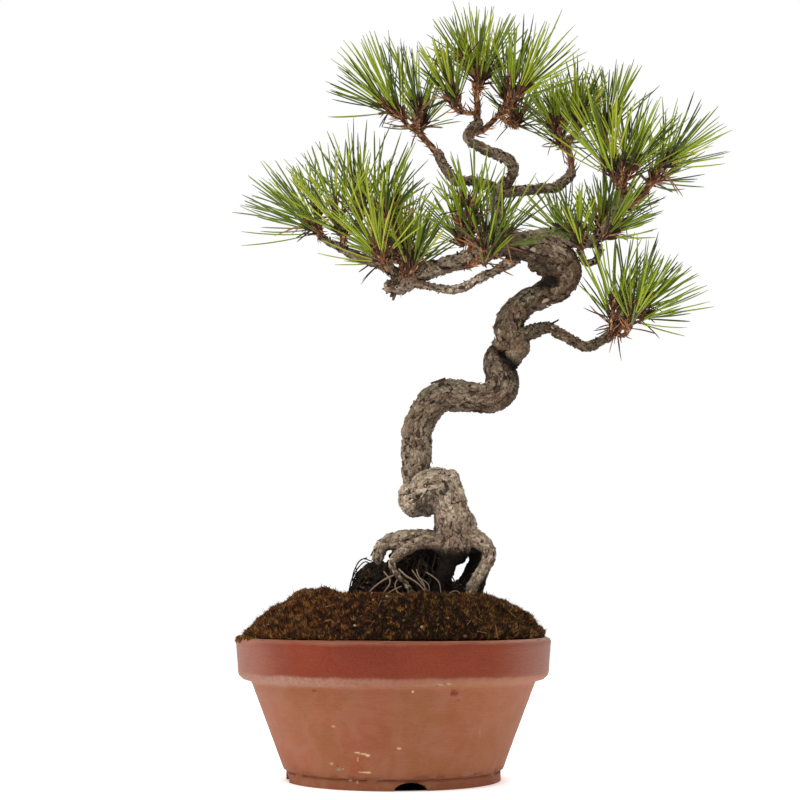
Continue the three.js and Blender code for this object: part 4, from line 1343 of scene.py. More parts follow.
# The heaps of fine roots and the wood low down near the soil are painted darker too, partly their own dark
# colour and partly painted shade.
shade_and_soil = np.maximum(shade_and_soil, smooth_step(in_heap, 1.16, 1.06))
shade_and_soil = np.maximum(shade_and_soil, smooth_step(points[:, 2], 128, 117) * 0.35)
shade_and_soil = np.maximum(shade_and_soil, hollowed)
stump_pale = 0.36 + 0.64 * smooth_step(points[:, 2], 152, 174)
keep_attribute(crown.data, "pale", np.select([owner < 2, owner < inner_first], [stump_pale, 0.9], 0.1))
keep_attribute(crown.data, "shade_and_soil", shade_and_soil)
shaded_skin = np.vstack(shaded_skin + [points[shade_and_soil > 0.4]])
for piece in (stem, crown):
    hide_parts("trunk")
    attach(piece, "root")
print("the crown's bark spans", points.min(axis=0).round(1), "to", points.max(axis=0).round(1))

# %% [markdown]
# The finish of the bark works from the large to the small. Plates and flakes draw their tone from the
# attributes, chips of a millimetre and a half come from a Voronoi pattern along the grain, and pale
# flecks and dark pits sit on those. Bark that faces the lamp is painted paler and a little green, as
# painted light, and bark that faces away or that near wood hides is painted darker, as painted shade.
# The crease, the hollows, the shaded roots and the hollow under the stump are painted dark as shade.

# %% Mix the bark
bark, tree, shader, where = new_material("pine_bark", roughness=0.9, specular=0.2)
read = {
    name: place(tree, "ShaderNodeAttribute", attribute_name=name).outputs["Fac"]
    for name in ("crack", "chip_edge", "plate", "lift", "pale", "shade_and_soil", "toward_light", "occlusion_shade")
}
grown = place(tree, "ShaderNodeAttribute", attribute_name="along_grain").outputs["Vector"]
stretched = place(tree, "ShaderNodeMapping", {"Vector": grown, "Scale": (1, 1, 0.6)}).outputs[0]
sway = place(tree, "ShaderNodeTexNoise", {"Vector": stretched, "Scale": 0.9, "Detail": 3.0}).outputs["Color"]
ragged = place(tree, "ShaderNodeVectorMath", {0: sway, 1: (0.5, 0.5, 0.5)}, operation="SUBTRACT").outputs[0]
ragged = place(tree, "ShaderNodeVectorMath", {0: ragged, "Scale": 1.7}, operation="SCALE").outputs[0]
bent = place(tree, "ShaderNodeVectorMath", {0: stretched, 1: ragged}, operation="ADD").outputs[0]
chip_pattern = {"Vector": bent, "Scale": 0.68}
chips = place(tree, "ShaderNodeTexVoronoi", chip_pattern).outputs["Color"]
chip = place(tree, "ShaderNodeSeparateColor", {0: chips}).outputs[0]
rim = place(tree, "ShaderNodeTexVoronoi", chip_pattern, feature="DISTANCE_TO_EDGE").outputs[0]
speck = place(tree, "ShaderNodeTexNoise", {"Vector": stretched, "Scale": 2.1, "Detail": 3.0}).outputs[0]
pit = place(tree, "ShaderNodeTexNoise", {"Vector": stretched, "Scale": 0.8, "Detail": 5.0}).outputs[0]
fine = effect(tree, grain, Vector=where, Scale=1400.0, Low=0.3, High=0.7)
lichen = effect(tree, blotches, Vector=where, Scale=55.0, Cover=0.55, Edge=0.16)["Mask"]
warm = effect(tree, blotches, Vector=where, Scale=38.0, Cover=0.75, Edge=0.25)["Mask"]

up = place(tree, "ShaderNodeSeparateXYZ", {0: where}).outputs["Z"]
of_plate = times(tree, read["plate"], 0.5)
of_chip = times(tree, chip, 0.5)
shade = faded(tree, counted(tree, "ADD", of_plate, of_chip), 0.15, 0.85)
old = mixed(tree, shade, paint(74, 58, 44), paint(160, 141, 119))
young = mixed(tree, shade, paint(62, 46, 32), paint(129, 106, 80))
stump_tone = mixed(tree, shade, paint(148, 121, 98), paint(232, 212, 188))
tone = mixed(tree, faded(tree, up, 0.235, 0.3), old, young)
tone = mixed(tree, read["pale"], tone, stump_tone)
tone = washed(tree, warm, 0.35, tone, (142, 100, 78))
tone = washed(tree, lichen, 0.25, tone, (122, 122, 94))
# The rows that read how the bark faces the lamp and how near wood hides it are painted light and shade: paler
# facing the lamp, darker facing away or hidden.
veils = [
    (read["lift"], 0.6, 1.0, 0.45, (190, 174, 150)),
    (speck, 0.56, 0.68, 0.5, (196, 180, 156)),
    (pit, 0.44, 0.34, 0.6, (58, 44, 34)),
    (rim, 0.09, 0.0, 0.55, (52, 38, 30)),
    (read["toward_light"], 0.4, 0.95, 0.3, (160, 154, 128)),
    (read["toward_light"], 0.0, -0.85, 0.6, (58, 44, 34)),
    (read["occlusion_shade"], 0.12, 0.5, 0.85, (40, 29, 23)),
    (read["chip_edge"], 0.5, 0.0, 0.4, (52, 38, 30)),
    (read["crack"], 0.7, 0.2, 0.85, (40, 29, 22)),
]
for value, low, high, share, colour in veils:
    tone = veiled(tree, value, low, high, share, tone, colour)
# Painted shade: the crease, the hollows, the shaded roots and the heap are painted nearly black.
tone = washed(tree, read["shade_and_soil"], 0.97, tone, (9, 6, 5))
tree.links.new(tone, shader.inputs["Base Color"])
first = raised(tree, shader, chip, 0.5 * MM, 0.6)
second = raised(tree, shader, speck, 0.5 * MM, 0.5, first)
raised(tree, shader, fine["Height"], 0.3 * MM, 0.7, second)
stem.data.materials.append(bark)
crown.data.materials.append(bark)
print("the bark has", len(tree.nodes), "nodes")

# %% Bark the boughs
bleached = {"bough_left": 1.0, "bough_left_under": 0.9, "bough_lower_right": 0.0}
# The lower right bough and the left tip get a little of the same painted shade, under the needles.
darkened = {"bough_lower_right": 0.14, "bough_left_tip": 0.15}
for number, (name, route) in enumerate(limb_routes.items()):
    thick = max(stop[3] for stop in route)
    bough = tubes(f"{name}_bark", [route], 20 + 2 * round(thick * 1.5), skin_voxel, bark)
    owner, points = bark_over(
        bough, [walked(route, 1.5)], plate=2.2 + 0.25 * thick, relief=0.42 + 0.08 * thick,
        stretch=1.3, seed=17.0 * number,
    )
    keep_attribute(bough.data, "pale", np.full(len(points), bleached.get(name, 0.3)))
    keep_attribute(bough.data, "shade_and_soil", np.full(len(points), darkened.get(name, 0.0)))
    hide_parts(name)
    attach(bough, "root")
    print(bough.name, "has", len(bough.data.polygons), "faces")

# %% [markdown]
# Loose flakes break the outline. A flake is an uneven disc with seven corners, less than half a
# millimetre thick, and hundreds of them lie along the grain with one end lifted. They follow a spiral
# by the golden angle, which spreads places evenly round a limb as it spreads leaves round a shoot.
# Boughs also carry short pegs, the stubs of lost twigs.

# %% Lay flakes along the grain
GOLDEN = math.pi * (3 - math.sqrt(5))


def spiral(routes, spacing, chance, away=0.0):
    """Places in a spiral along some limbs: the spot on the skin, the way out and the way along."""
    spots, outs, alongs = [], [], []
    for route in routes:
        line = walked(route, spacing)
        ways, side, over = across_of(line)
        turn = GOLDEN * np.arange(len(line)) + chance.normal(0, 0.25, len(line)) + chance.random() * 6
        out = side * np.cos(turn)[:, None] + over * np.sin(turn)[:, None]
        spots.append(line[:, :3] + out * (line[:, 3:4] + away))
        outs.append(out)
        alongs.append(ways)
    return np.vstack(spots), np.vstack(outs), np.vstack(alongs)


def laid(pattern, spots, ups, alongs, sizes):
    """Lays copies of a shape down, with its Z up from the bark and its Y along the limb."""
    side = unit(np.cross(alongs, ups))
    return copied(pattern, spots, sizes, side, np.cross(ups, side), ups)


flake_corners = [1.0, 0.78, 1.12, 0.86, 1.05, 0.7, 0.94]
flake_form = bmesh.new()
disc = bmesh.ops.create_circle(flake_form, cap_ends=True, segments=len(flake_corners), radius=1)["verts"]
for corner, reach in zip(disc, flake_corners):
    corner.co *= reach
skin = bmesh.ops.extrude_face_region(flake_form, geom=flake_form.faces[:])["geom"]
raised_corners = [part for part in skin if isinstance(part, bmesh.types.BMVert)]
bmesh.ops.translate(flake_form, vec=(0, 0, 1), verts=raised_corners)
bmesh.ops.scale(flake_form, vec=(0.8, 0.8, 1), verts=raised_corners)
bmesh.ops.recalc_face_normals(flake_form, faces=flake_form.faces)
flake, flake_faces = pattern_of(flake_form)
flake_tones = finishes("flake", [
    ("black", (36, 27, 21), 0.9, 0.15),
    ("dark", (74, 57, 44), 0.9, 0.15),
    ("brown", (106, 86, 68), 0.9, 0.15),
    ("grey", (136, 120, 99), 0.9, 0.15),
    ("pale", (172, 154, 130), 0.9, 0.15),
])


in_shade = KDTree(len(shaded_skin))
for number, spot in enumerate(shaded_skin):
    in_shade.insert(spot, number)
in_shade.balance()


flake_thick = 0.42


def flakes_over(name, routes, spacing, odds, size, chance):
    """Strews flakes over some limbs, but not where other wood covers them or where shade is painted."""
    lines = [walked(route, 2.0) for route in routes]
    spots, outs, alongs = spiral(routes, spacing, chance, 0.1)
    number = np.concatenate([np.full(len(walked(route, spacing)), n) for n, route in enumerate(routes)])
    shown = straightened(spots, lines)[1] == number
    shown &= chance.random(len(spots)) < 0.8
    shown &= [in_shade.find(spot)[2] > 1.7 for spot in spots]
    spots, outs, alongs = spots[shown], outs[shown], alongs[shown]
    count = len(spots)
    ends = np.where(chance.random((count, 1)) < 0.5, -1.0, 1.0)
    ups = unit(outs + alongs * ends * chance.uniform(0.05, 0.4, (count, 1)))
    grain_way = unit(alongs * ends + chance.normal(0, 0.3, (count, 3)))
    large = chance.uniform(0.6, 1.4, (count, 1)) * size
    sizes = np.hstack([large, large * chance.uniform(1.2, 2.2, (count, 1)), np.full((count, 1), flake_thick)])
    copies = laid(flake, spots - outs * 0.2, ups, grain_way, sizes)
    tones = chance.choice(len(flake_tones), count, p=odds)
    # Painted shade: flakes that face away from the lamp get no grey or pale tone.
    tones[(outs @ TOWARD_LIGHT < -0.5) & (tones > 2)] = 2
    return repeated(name, flake_faces, copies, tones, flake_tones)


chance = np.random.default_rng(52)
boughs = list(limb_routes.values())
flakes = [
    (flakes_over("stem_flakes", [stem_route], 0.5, [0.05, 0.2, 0.35, 0.3, 0.1], 1.25, chance), ["trunk"]),
    (flakes_over("crown_flakes", [stump_route, fold_route] + outer_roots, 0.45,
                 [0.0, 0.04, 0.2, 0.4, 0.36], 1.15, chance), ["trunk"]),
    (flakes_over("bough_flakes", boughs, 0.7, [0.12, 0.28, 0.3, 0.22, 0.08], 0.9, chance), list(limb_routes)),
]
for piece, nodes in flakes:
    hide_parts(*nodes)
    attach(piece, "root")

# %% Add the pegs of lost twigs
peg, peg_faces = pattern_of(spike(6, 1, 0.55))
chance = np.random.default_rng(53)
spots, outs, alongs = spiral(boughs, 4.6, chance, -0.6)
ways = unit(outs + alongs * chance.normal(0.15, 0.5, (len(outs), 1)))
knob = limb_routes["bough_left"][-2][:3]
knob_count = 22
knob_ways = unit(chance.normal(0, 1, (knob_count, 3)) + [-0.5, -0.4, -0.3])
spur_spots = [(100.5, -9, 288.5), (33.5, -1, 254.4), (99, -9, 318)]
spur_ways = unit(np.array([(0.85, -0.3, 0.45), (-0.95, -0.1, -0.3), (0.4, -0.5, -0.6)]))
spots = np.vstack([spots, knob_ways * 5.4 + knob, spur_spots])
ways = np.vstack([ways, knob_ways, spur_ways])
count = len(spots)
spurs = slice(count - len(spur_spots), count)
on_knob = slice(spurs.start - knob_count, spurs.start)
radii = chance.uniform(0.45, 0.9, count)
radii[on_knob] = chance.uniform(0.9, 1.7, knob_count)
radii[spurs] = (0.8, 1.2, 0.8)
reach = chance.uniform(1.2, 2.6, count)
reach[on_knob] = chance.uniform(2.0, 4.6, knob_count)
reach[spurs] = (7, 10, 4)
copies = stood_up(peg, spots, ways, np.stack([radii, radii, reach], axis=1), chance.random(count) * 6.3)
tones = chance.choice(3, count, p=[0.45, 0.4, 0.15])
tones[on_knob] = chance.choice((1, 2), knob_count)
tones[spurs.start + 1] = 1
pegs = repeated("bark_pegs", peg_faces, copies, tones, flake_tones[:3])
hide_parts(*limb_routes)
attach(pegs, "root")

# %% [markdown]
# Under the arches the tree has let down more than two hundred hair roots, which hold a heap of old
# soil. Each is a thin bent tube that creeps down over a lump from near its top. Ten of them, in front,
# are bleached like the main roots. These and a few loose dark ones follow listed routes. Crumbs
# of old soil cling between them.

# %% Let down the fine roots
pale_hairs = [
    [(3.4, -17, 131.5, 0.7), (7.8, -18.5, 127.5, 0.6), (15.5, -19, 122.5, 0.55), (22, -20, 115, 0.45)],
    [(0.5, -17, 128, 0.6), (-5, -18.5, 125.5, 0.55), (-12, -19, 120.5, 0.5), (-18.5, -19, 114, 0.4)],
    [(14.6, -14, 131.5, 0.35), (15.5, -16, 128, 0.4), (19.4, -17.5, 121.5, 0.4), (19.4, -18, 113, 0.35)],
    [(11.8, -15, 131, 0.4), (16, -17.5, 125, 0.35), (24, -18, 115, 0.3)],
    [(20.2, -13, 130, 0.4), (25, -14, 127, 0.4), (28.6, -15, 123.5, 0.35), (30, -16, 116, 0.3)],
    [(5, -19, 121, 0.4), (-2, -20, 117.5, 0.4), (-7, -20.5, 113, 0.35)],
    [(17, -15, 126, 0.3), (22, -16.5, 122, 0.3), (23, -17, 117, 0.3), (27, -18, 113, 0.25)],
    [(34, -14, 115, 0.35), (38, -13, 118, 0.35), (41, -13, 117.5, 0.3), (44, -14, 114, 0.3)],
    [(-6, -17, 130, 0.5), (-2, -18.5, 124, 0.5), (-6, -19.5, 117, 0.45)],
    [(4, -18, 127, 0.5), (1, -19, 122, 0.45), (3, -20, 116, 0.4)],
]
dark_hairs = [
    [(-28, -6, 116, 0.5), (-27.5, -6, 122, 0.5), (-25.4, -5, 128, 0.45), (-22.5, -4, 132.8, 0.45),
     (-18, -4, 136.6, 0.4), (-13, -5, 134, 0.4)],
    [(-17, -6, 139, 0.4), (-21, -7, 137.5, 0.4), (-24.5, -8, 132, 0.4), (-26, -8, 126, 0.4),
     (-24, -9, 118, 0.4)],
    [(-14, 2, 137, 0.4), (-20, 3, 138.5, 0.35), (-24, 2, 134, 0.35), (-23, 0, 128, 0.35)],
    [(24, 0, 152, 0.35), (19, -1, 156.5, 0.3), (15, -2, 157.5, 0.25)],
]
hair_lumps = [
    {"at": (-3, -1, 114), "size": (25, 17, 22), "count": 90},
    {"at": (-11, -2, 121), "size": (11, 12, 15.5), "count": 34},
    {"at": (38, 1, 114), "size": (10, 9, 9.5), "count": 22},
    {"at": (19, 0, 114), "size": (20, 14, 29), "count": 60},
]
hair_stops = 9


def hair_root(lump, chance):
    """A route that wanders down over a lump, from near its top to its foot."""
    down = np.linspace(chance.uniform(0.15, 0.7), 1.5, hair_stops)
    turn = chance.random() * 6.3 + np.cumsum(chance.normal(0, 0.13, hair_stops))
    swell = 1.0 + chance.normal(0.01, 0.02, hair_stops) + 0.05 * np.sin(down * chance.uniform(3, 7) + turn)
    out = np.stack([np.cos(turn) * np.sin(down), np.sin(turn) * np.sin(down), np.cos(down)], axis=1)
    spots = np.array(lump["at"]) + out * lump["size"] * swell[:, None]
    radii = np.linspace(chance.uniform(0.4, 0.9), 0.3, hair_stops)
    return [(*spot, radius) for spot, radius in zip(spots, radii)]


chance = np.random.default_rng(54)
hair_forms = {
    "pale": (pale_hairs, (156, 134, 114)),
    "dark": (dark_hairs, (34, 26, 21)),
    "brown": ([], (58, 43, 33)),
}
for lump in hair_lumps:
    for number in range(lump["count"]):
        hair_forms["brown" if number % 4 == 0 else "dark"][0].append(hair_root(lump, chance))
for name, (routes, colour) in hair_forms.items():
    hair_finish = plain_finish(f"hair_root_{name}", colour, 0.9, 0.15)
    hairs = tubes(f"fine_roots_{name}", routes, 6, 1.5, hair_finish)
    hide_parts("trunk")
    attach(hairs, "root")
    print(hairs.name, "has", len(routes), "roots and", len(hairs.data.polygons), "faces")

# Crumbs of old soil still cling between the fine roots.
crumb_count = 950


def on_heap(at, way):
    """1 on the heaps of fine roots, 0 elsewhere."""
    reach = np.min([np.linalg.norm((at - lump["at"]) / lump["size"], axis=1) for lump in root_heaps], axis=0)
    return ((reach < 1.15) & (at[:, 2] > 112)) * 1.0


spots, ways = scattered(crown, crumb_count, chance, on_heap)
sizes = chance.uniform(0.4, 1.5, (crumb_count, 1)) * chance.uniform(0.6, 1.3, (crumb_count, 3))
copies = stood_up(grit, spots + ways * 0.9, ways, sizes, chance.random(crumb_count) * 6.3)
copies += chance.normal(0, 0.14, copies.shape)
crumb_tones = finishes("crumb", [
    ("black", (24, 17, 13), 0.95, 0.1),
    ("brown", (54, 38, 26), 0.95, 0.1),
    ("olive", (66, 60, 32), 0.95, 0.1),
    ("tan", (112, 92, 68), 0.95, 0.1),
])
tones = chance.choice(4, crumb_count, p=[0.32, 0.32, 0.22, 0.14])
crumbs = repeated("heap_crumbs", grit_faces, copies, tones, crumb_tones)
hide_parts("trunk")
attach(crumbs, "root")

# %% [markdown]
# ## Shoots
#
# Young shoots are still covered in papery scales, each one the stub of a leaf that never grew. They
# grow by the same rule as the solids: a stem leaves the bough, a twig leaves the stem at the place
# nearest to its brush of needles, bends a little and runs on as the brush's foot. The rule draws its
# bends from one seeded run of numbers, so every twig lies where its solid does. A twig is a bent grid
# like the boughs, and its scales are one pointed shape, repeated in a spiral by the golden angle.

# %% Repeat the masses of needles
masses = {
    "needles_left_outer": (
        [(-47, -2, 348, 2), (-53, 1, 354, 1.9), (-55, 4, 358, 1.8)],
        [((-57, -8, 354), (-0.88, -0.14, 0.47), 52), ((-57, 14, 364), (-0.72, 0.25, 0.65), 50)]),
    "needles_left_middle": (
        [(-33, -6, 338, 2), (-33, -4, 346, 1.9), (-30, 4, 356, 1.8)],
        [((-38, -22, 354), (-0.5, -0.25, 0.83), 59), ((-25, 16, 374), (-0.25, 0.25, 0.95), 61)]),
    "needles_left_inner": (
        [(-9, -6, 328, 2.2), (-11, -8, 342, 2), (-12, -7, 354, 1.8)],
        [((-12, -6, 365), (0, 0.12, 1), 56), ((-4, -30, 362), (0.12, -0.35, 0.93), 38),
         ((-13, -38, 334), (-0.55, -0.4, 0.75), 54)]),
    "needles_left_low": (
        [(3, -4, 320, 2.4), (6, -6, 329, 2), (6, 2, 338, 1.8)],
        [((16, -26, 330), (0.42, -0.35, 0.85), 37), ((6, 10, 350), (0.15, 0.25, 0.95), 47),
         ((-7, 26, 343), (-0.15, 0.5, 0.85), 42)]),
    "needles_back_left": (
        [(8, 36, 337, 2), (2, 44, 341, 1.9), (0, 47, 344, 1.7)],
        [((-10, 50, 347), (-0.5, 0.6, 0.6), 50), ((12, 54, 350), (0.15, 0.65, 0.75), 46)]),
    "needles_centre": (
        [(49, -8, 333, 2), (50, -17, 343, 1.9), (51, -22, 350, 1.8)],
        [((52, -25, 359), (0, -0.2, 0.97), 50), ((42, -30, 352), (-0.5, -0.4, 0.75), 40)]),
    "needles_centre_low": (
        [(46, -9, 327, 2), (50, -22, 325, 1.9), (58, -31, 331, 1.8)],
        [((66, -36, 340), (0.45, -0.35, 0.82), 52), ((60, -42, 331), (0.2, -0.75, 0.6), 40)]),
    "needles_back_centre": (
        [(55, 33, 349, 2), (53, 39, 354, 1.9), (52, 42, 357, 1.7)],
        [((44, 48, 360), (-0.12, 0.6, 0.76), 44), ((64, 50, 363), (0.2, 0.6, 0.77), 46)]),
    "needles_top_left": (
        [(30, 6, 404, 2.4), (22, 5, 413, 2.2), (12, 5, 424, 1.9)],
        [((-1, -4, 435), (-0.62, -0.1, 0.78), 57), ((15, 18, 444), (-0.12, 0.25, 0.95), 54),
         ((20, 38, 438), (0, 0.7, 0.7), 42)]),
    "needles_apex": (
        [(55, 1, 424, 2.4), (55, -1, 438, 2.2), (53, -4, 450, 1.9)],
        [((53, -7, 459), (-0.25, -0.15, 0.95), 47), ((62, 14, 466), (0.25, 0.2, 0.94), 45),
         ((36, -22, 440), (-0.3, -0.3, 0.9), 40)]),
    "needles_apex_right": (
        [(50, 0, 416, 2.2), (61, 6, 423, 2.1), (73, 8, 436, 1.9)],
        [((77, 28, 457), (0.1, 0.3, 0.95), 46), ((85, -18, 444), (0.6, -0.25, 0.76), 52),
         ((86, 48, 442), (0.2, 0.65, 0.73), 42)]),
    "needles_right_upper": (
        [(118.5, 17, 394.5, 2.4), (118, 18, 406, 2.2), (115, 19, 418, 1.9)],
        [((108, 28, 435), (-0.12, 0.35, 0.93), 39), ((122, 6, 433), (0.05, -0.2, 1), 40),
         ((114, 46, 428), (0.1, 0.7, 0.7), 44)]),
    "needles_right_crown": (
        [(152.5, 0, 372.5, 2.4), (151, 4, 386, 2.2), (147, 12, 406, 1.9)],
        [((145, 24, 434), (0.25, 0.1, 0.96), 47), ((137, -24, 392), (-0.4, -0.3, 0.86), 58),
         ((156, -10, 395), (0.4, -0.2, 0.88), 50)]),
    "needles_right_outer": (
        [(145, -3, 363, 2.2), (162, 2, 375, 2.1), (174, 5, 391, 1.9)],
        [((184, 5, 403), (0.7, 0.05, 0.7), 49), ((176, 28, 397), (0.5, 0.6, 0.62), 46)]),
    "needles_right_inner": (
        [(118, -17, 342, 1.9), (117, -24, 342, 1.8), (117, -28, 343, 1.7)],
        [((116, -34, 345), (-0.3, -0.4, 0.85), 34)]),
    "needles_right_low": (
        [(137, -9, 349.5, 1.9), (140, -18, 348, 1.8), (141, -22, 348, 1.7)],
        [((143, -28, 349), (0.75, -0.35, 0.55), 38)]),
    "needles_back_right": (
        [(125, 39, 357, 2), (129, 44, 362, 1.9), (131, 46, 365, 1.7)],
        [((139, 34, 364), (0.1, 0.2, 0.97), 38), ((148, 52, 372), (0.35, 0.6, 0.7), 48),
         ((114, 56, 366), (-0.3, 0.65, 0.68), 46)]),
    "needles_lower_right": (
        [(138, -3, 281.5, 2.4), (145, 0, 286, 2.2), (151, 2, 293, 1.9)],
        [((142, -14, 304), (0.15, -0.15, 0.97), 51), ((164, -4, 297), (0.95, -0.05, 0.3), 48),
         ((161, 14, 307), (0.5, 0.2, 0.84), 53), ((148, 30, 297), (0.1, 0.75, 0.62), 48),
         ((154, -28, 294), (0.3, -0.6, 0.74), 44)]),
}
regions = {
    "left": ["needles_left_outer", "needles_left_middle", "needles_left_inner", "needles_left_low"],
    "centre": ["needles_centre", "needles_centre_low"],
    "top": ["needles_top_left", "needles_apex", "needles_apex_right"],
    "right": ["needles_right_upper", "needles_right_crown", "needles_right_outer",
              "needles_right_inner", "needles_right_low"],
    "back": ["needles_back_left", "needles_back_centre", "needles_back_right"],
    "lower_right": ["needles_lower_right"],
}
print(sum(len(brushes) for stem, brushes in masses.values()), "brushes in", len(masses), "masses")


# %% Grow the twigs by the rule of the solids
def seeded(seed):
    """The same run of numbers from 0 to 1 that the solids were made with."""
    whole = 0xFFFFFFFF
    state = seed & whole

    def draw():
        nonlocal state
        state = (state + 0x6D2B79F5) & whole
        blend = ((state ^ (state >> 15)) * (1 | state)) & whole
        blend = ((blend + (((blend ^ (blend >> 7)) * (61 | blend)) & whole)) & whole) ^ blend
        return ((blend ^ (blend >> 14)) & whole) / (whole + 1)

    return draw


brush_seed = 701
foot_length = 12
twig = {"sway": 0.16, "end": 3, "radii": (1.5, 1.5, 1.65, 1.8, 0.9)}


def twig_route(stem, foot, aim, draw):
    """From the nearest place on the stem, with a bend, to the heel and along the foot of the brush."""
    foot, aim = np.array(foot, float), unit(np.array(aim, float))
    heel = foot - aim * foot_length
    line = walked(stem, 1.0)
    places = line[round(len(line) / 6):round(len(line) * 5 / 6) + 1, :3]
    start = places[np.argmin(np.linalg.norm(places - heel, axis=1))]
    sway = twig["sway"] * np.linalg.norm(start - heel)
    bend = (start + heel) / 2 + np.array([draw() - 0.5, draw() - 0.5, -draw()]) * sway
    stops = (start, bend, heel, foot, foot + aim * twig["end"])
    return [(*stop, radius) for stop, radius in zip(stops, twig["radii"])]


shoot_lines = {}
for index, (name, (stem, brushes)) in enumerate(masses.items()):
    draw = seeded(brush_seed + index)
    shoot_lines[name] = [stem] + [twig_route(stem, foot, aim, draw) for foot, aim, length in brushes]
print(sum(len(routes) for routes in shoot_lines.values()), "stems and twigs")

# %% [markdown]
# The twigs then fork once more. A finer side twig leaves each of them below its brush, turns up
# towards the light and carries a small brush of its own. It stays inside the box of its mass, so the
# crown keeps the reach of its solids.

# %% Fork the twigs once more
fork = {"long": (15, 21), "needles": (0.62, 0.8), "fullness": 0.42}
chance = np.random.default_rng(58)
all_brushes = {}
for name, (stem, brushes) in masses.items():
    low, high = np.array(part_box(name)) / MM
    all_brushes[name] = [(foot, aim, length, 1.0) for foot, aim, length in brushes]
    for (foot, aim, length), twig_line in zip(brushes, shoot_lines[name][1:]):
        line = walked(twig_line, 1.0)
        start = line[round(len(line) * chance.uniform(0.35, 0.6)), :3]
        aim = unit(np.array(aim, float))
        turned = unit(aim * 0.75 + unit(np.cross(aim, chance.normal(0, 1, 3))) * 0.6 + [0, 0, 0.35])
        side_foot = start + turned * chance.uniform(*fork["long"])
        side_length = length * chance.uniform(*fork["needles"])
        tip = side_foot + turned * side_length
        if np.all(tip > low) and np.all(tip < high + 2):
            bend = start + turned * 7 - aim * 1.5
            end = side_foot + turned * 3
            shoot_lines[name].append([(*start, 1.3), (*bend, 1.2), (*side_foot, 1.3), (*end, 0.8)])
            all_brushes[name].append((side_foot, turned, side_length, fork["fullness"]))
print(sum(len(brushes) for brushes in all_brushes.values()), "brushes after the forks")

# %% Make the shoots and their scales
young, tree, shader, where = new_material("young_shoot", roughness=0.8, specular=0.25)
streaks = effect(tree, grain, Vector=where, Scale=700.0, Low=0.3, High=0.7)
husk = effect(tree, blotches, Vector=where, Scale=120.0, Cover=0.8, Edge=0.2)["Mask"]
tone = mixed(tree, husk, paint(92, 62, 44), paint(146, 100, 68))
tone = washed(tree, streaks["Mask"], 0.5, tone, (62, 40, 30))
tree.links.new(tone, shader.inputs["Base Color"])
raised(tree, shader, streaks["Height"], 0.5 * MM, 0.8)

scale_form = bmesh.new()
bmesh.ops.create_grid(scale_form, x_segments=2, y_segments=3, size=1)
for corner in scale_form.verts:
    along = (corner.co.y + 1) / 2
    width = 0.5 * (1 - along**2.2) + 0.03
    corner.co = Vector((corner.co.x * width, along, 0.22 * abs(corner.co.x) * width - 0.16 * along**2))
scale_leaf, scale_faces = pattern_of(scale_form)
scale_tones = finishes("scale", [
    ("orange", (212, 154, 106), 0.75),
    ("tan", (180, 132, 94), 0.75),
    ("brown", (114, 78, 56), 0.8),
    ("dark", (56, 39, 31), 0.85),
    ("rust", (152, 92, 62), 0.75),
])
# The scales take up part of a shoot's thickness.
bare_share = 0.84
for number, (region, names) in enumerate(regions.items()):
    chance = np.random.default_rng(60 + number)
    routes = [
        [(x, y, z, radius * bare_share) for x, y, z, radius in route]
        for name in names for route in shoot_lines[name]
    ]
    shoots = tubes(f"shoots_{region}", routes, 9, 1.6, young)
    spots, outs, alongs = spiral(routes, 0.36, chance, -0.25)
    rows = len(spots)
    ragged = chance.random((rows, 1)) < 0.2
    stand = chance.uniform(0.1, 0.5, (rows, 1)) + ragged * chance.uniform(0.3, 1.3, (rows, 1))
    ways = unit(alongs + outs * stand)
    ups = unit(outs - ways * (outs * ways).sum(axis=1, keepdims=True))
    lengths = chance.uniform(2.0, 3.5, (rows, 1)) * np.where(ragged, 2.1, 1.0)
    widths = chance.uniform(1.1, 1.8, (rows, 1)) * np.where(ragged, 0.6, 1.0)
    copies = laid(scale_leaf, spots, ups, ways, np.hstack([widths, lengths, lengths]))
    tones = chance.choice(5, rows, p=[0.24, 0.2, 0.22, 0.22, 0.12])
    scales = repeated(f"scales_{region}", scale_faces, copies, tones, scale_tones)
    for piece in (shoots, scales):
        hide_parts(*names)
        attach(piece, "root")

# %% [markdown]
# ## Needles
#
# This pine's needles stand in pairs, each pair in a short brown sheath, and a brush of up to two dozen
# pairs crowds the end of every shoot. A needle is flatter than it is wide, a little over a millimetre
# across, bends gently and narrows to a point. One straight strand is cut at seven places, and arrays
# bend a copy of it for every needle. The first pairs of a brush lean least and the last ones most, as
# in the solids. Colours that have a place are plain ones: each spray draws from its own share of
# bright, deep and yellowish green, the lowest length of a needle is duller where the sheath kept the
# light off, and the very tip is greyer.

# %% Shape one needle
needle_sides = 5
needle_cuts = [0.06, 0.2, 0.38, 0.56, 0.74, 0.88, 0.965]
strand_form = spike(needle_sides, 1, 1)
for cut in needle_cuts:
    whole = strand_form.verts[:] + strand_form.edges[:] + strand_form.faces[:]
    bmesh.ops.bisect_plane(strand_form, geom=whole, plane_co=(0, 0, cut), plane_no=(0, 0, 1))
strand, strand_faces = pattern_of(strand_form)
face_share = strand[strand_faces][:, :, 2].mean(axis=1)
print("a needle has", len(strand_faces), "triangles")


def bent_needles(roots, ways, bends, lengths, width):
    """Bends a copy of the strand for every needle."""
    share = strand[None, :, 2:3]
    long = lengths[:, None, None]
    centre = roots[:, None] + long * (ways[:, None] * share + bends[:, None] * share**2)
    way = unit(ways[:, None] + 2 * bends[:, None] * share)
    side = unit(np.cross(ways, bends + 1e-4))[:, None]
    over = np.cross(way, side)
    half = 0.5 * width * np.interp(share, [0, 0.1, 0.5, 0.85, 1], [0.62, 0.8, 1, 0.88, 0.26])
    return centre + side * strand[None, :, 0:1] * half + over * strand[None, :, 1:2] * half * 0.72


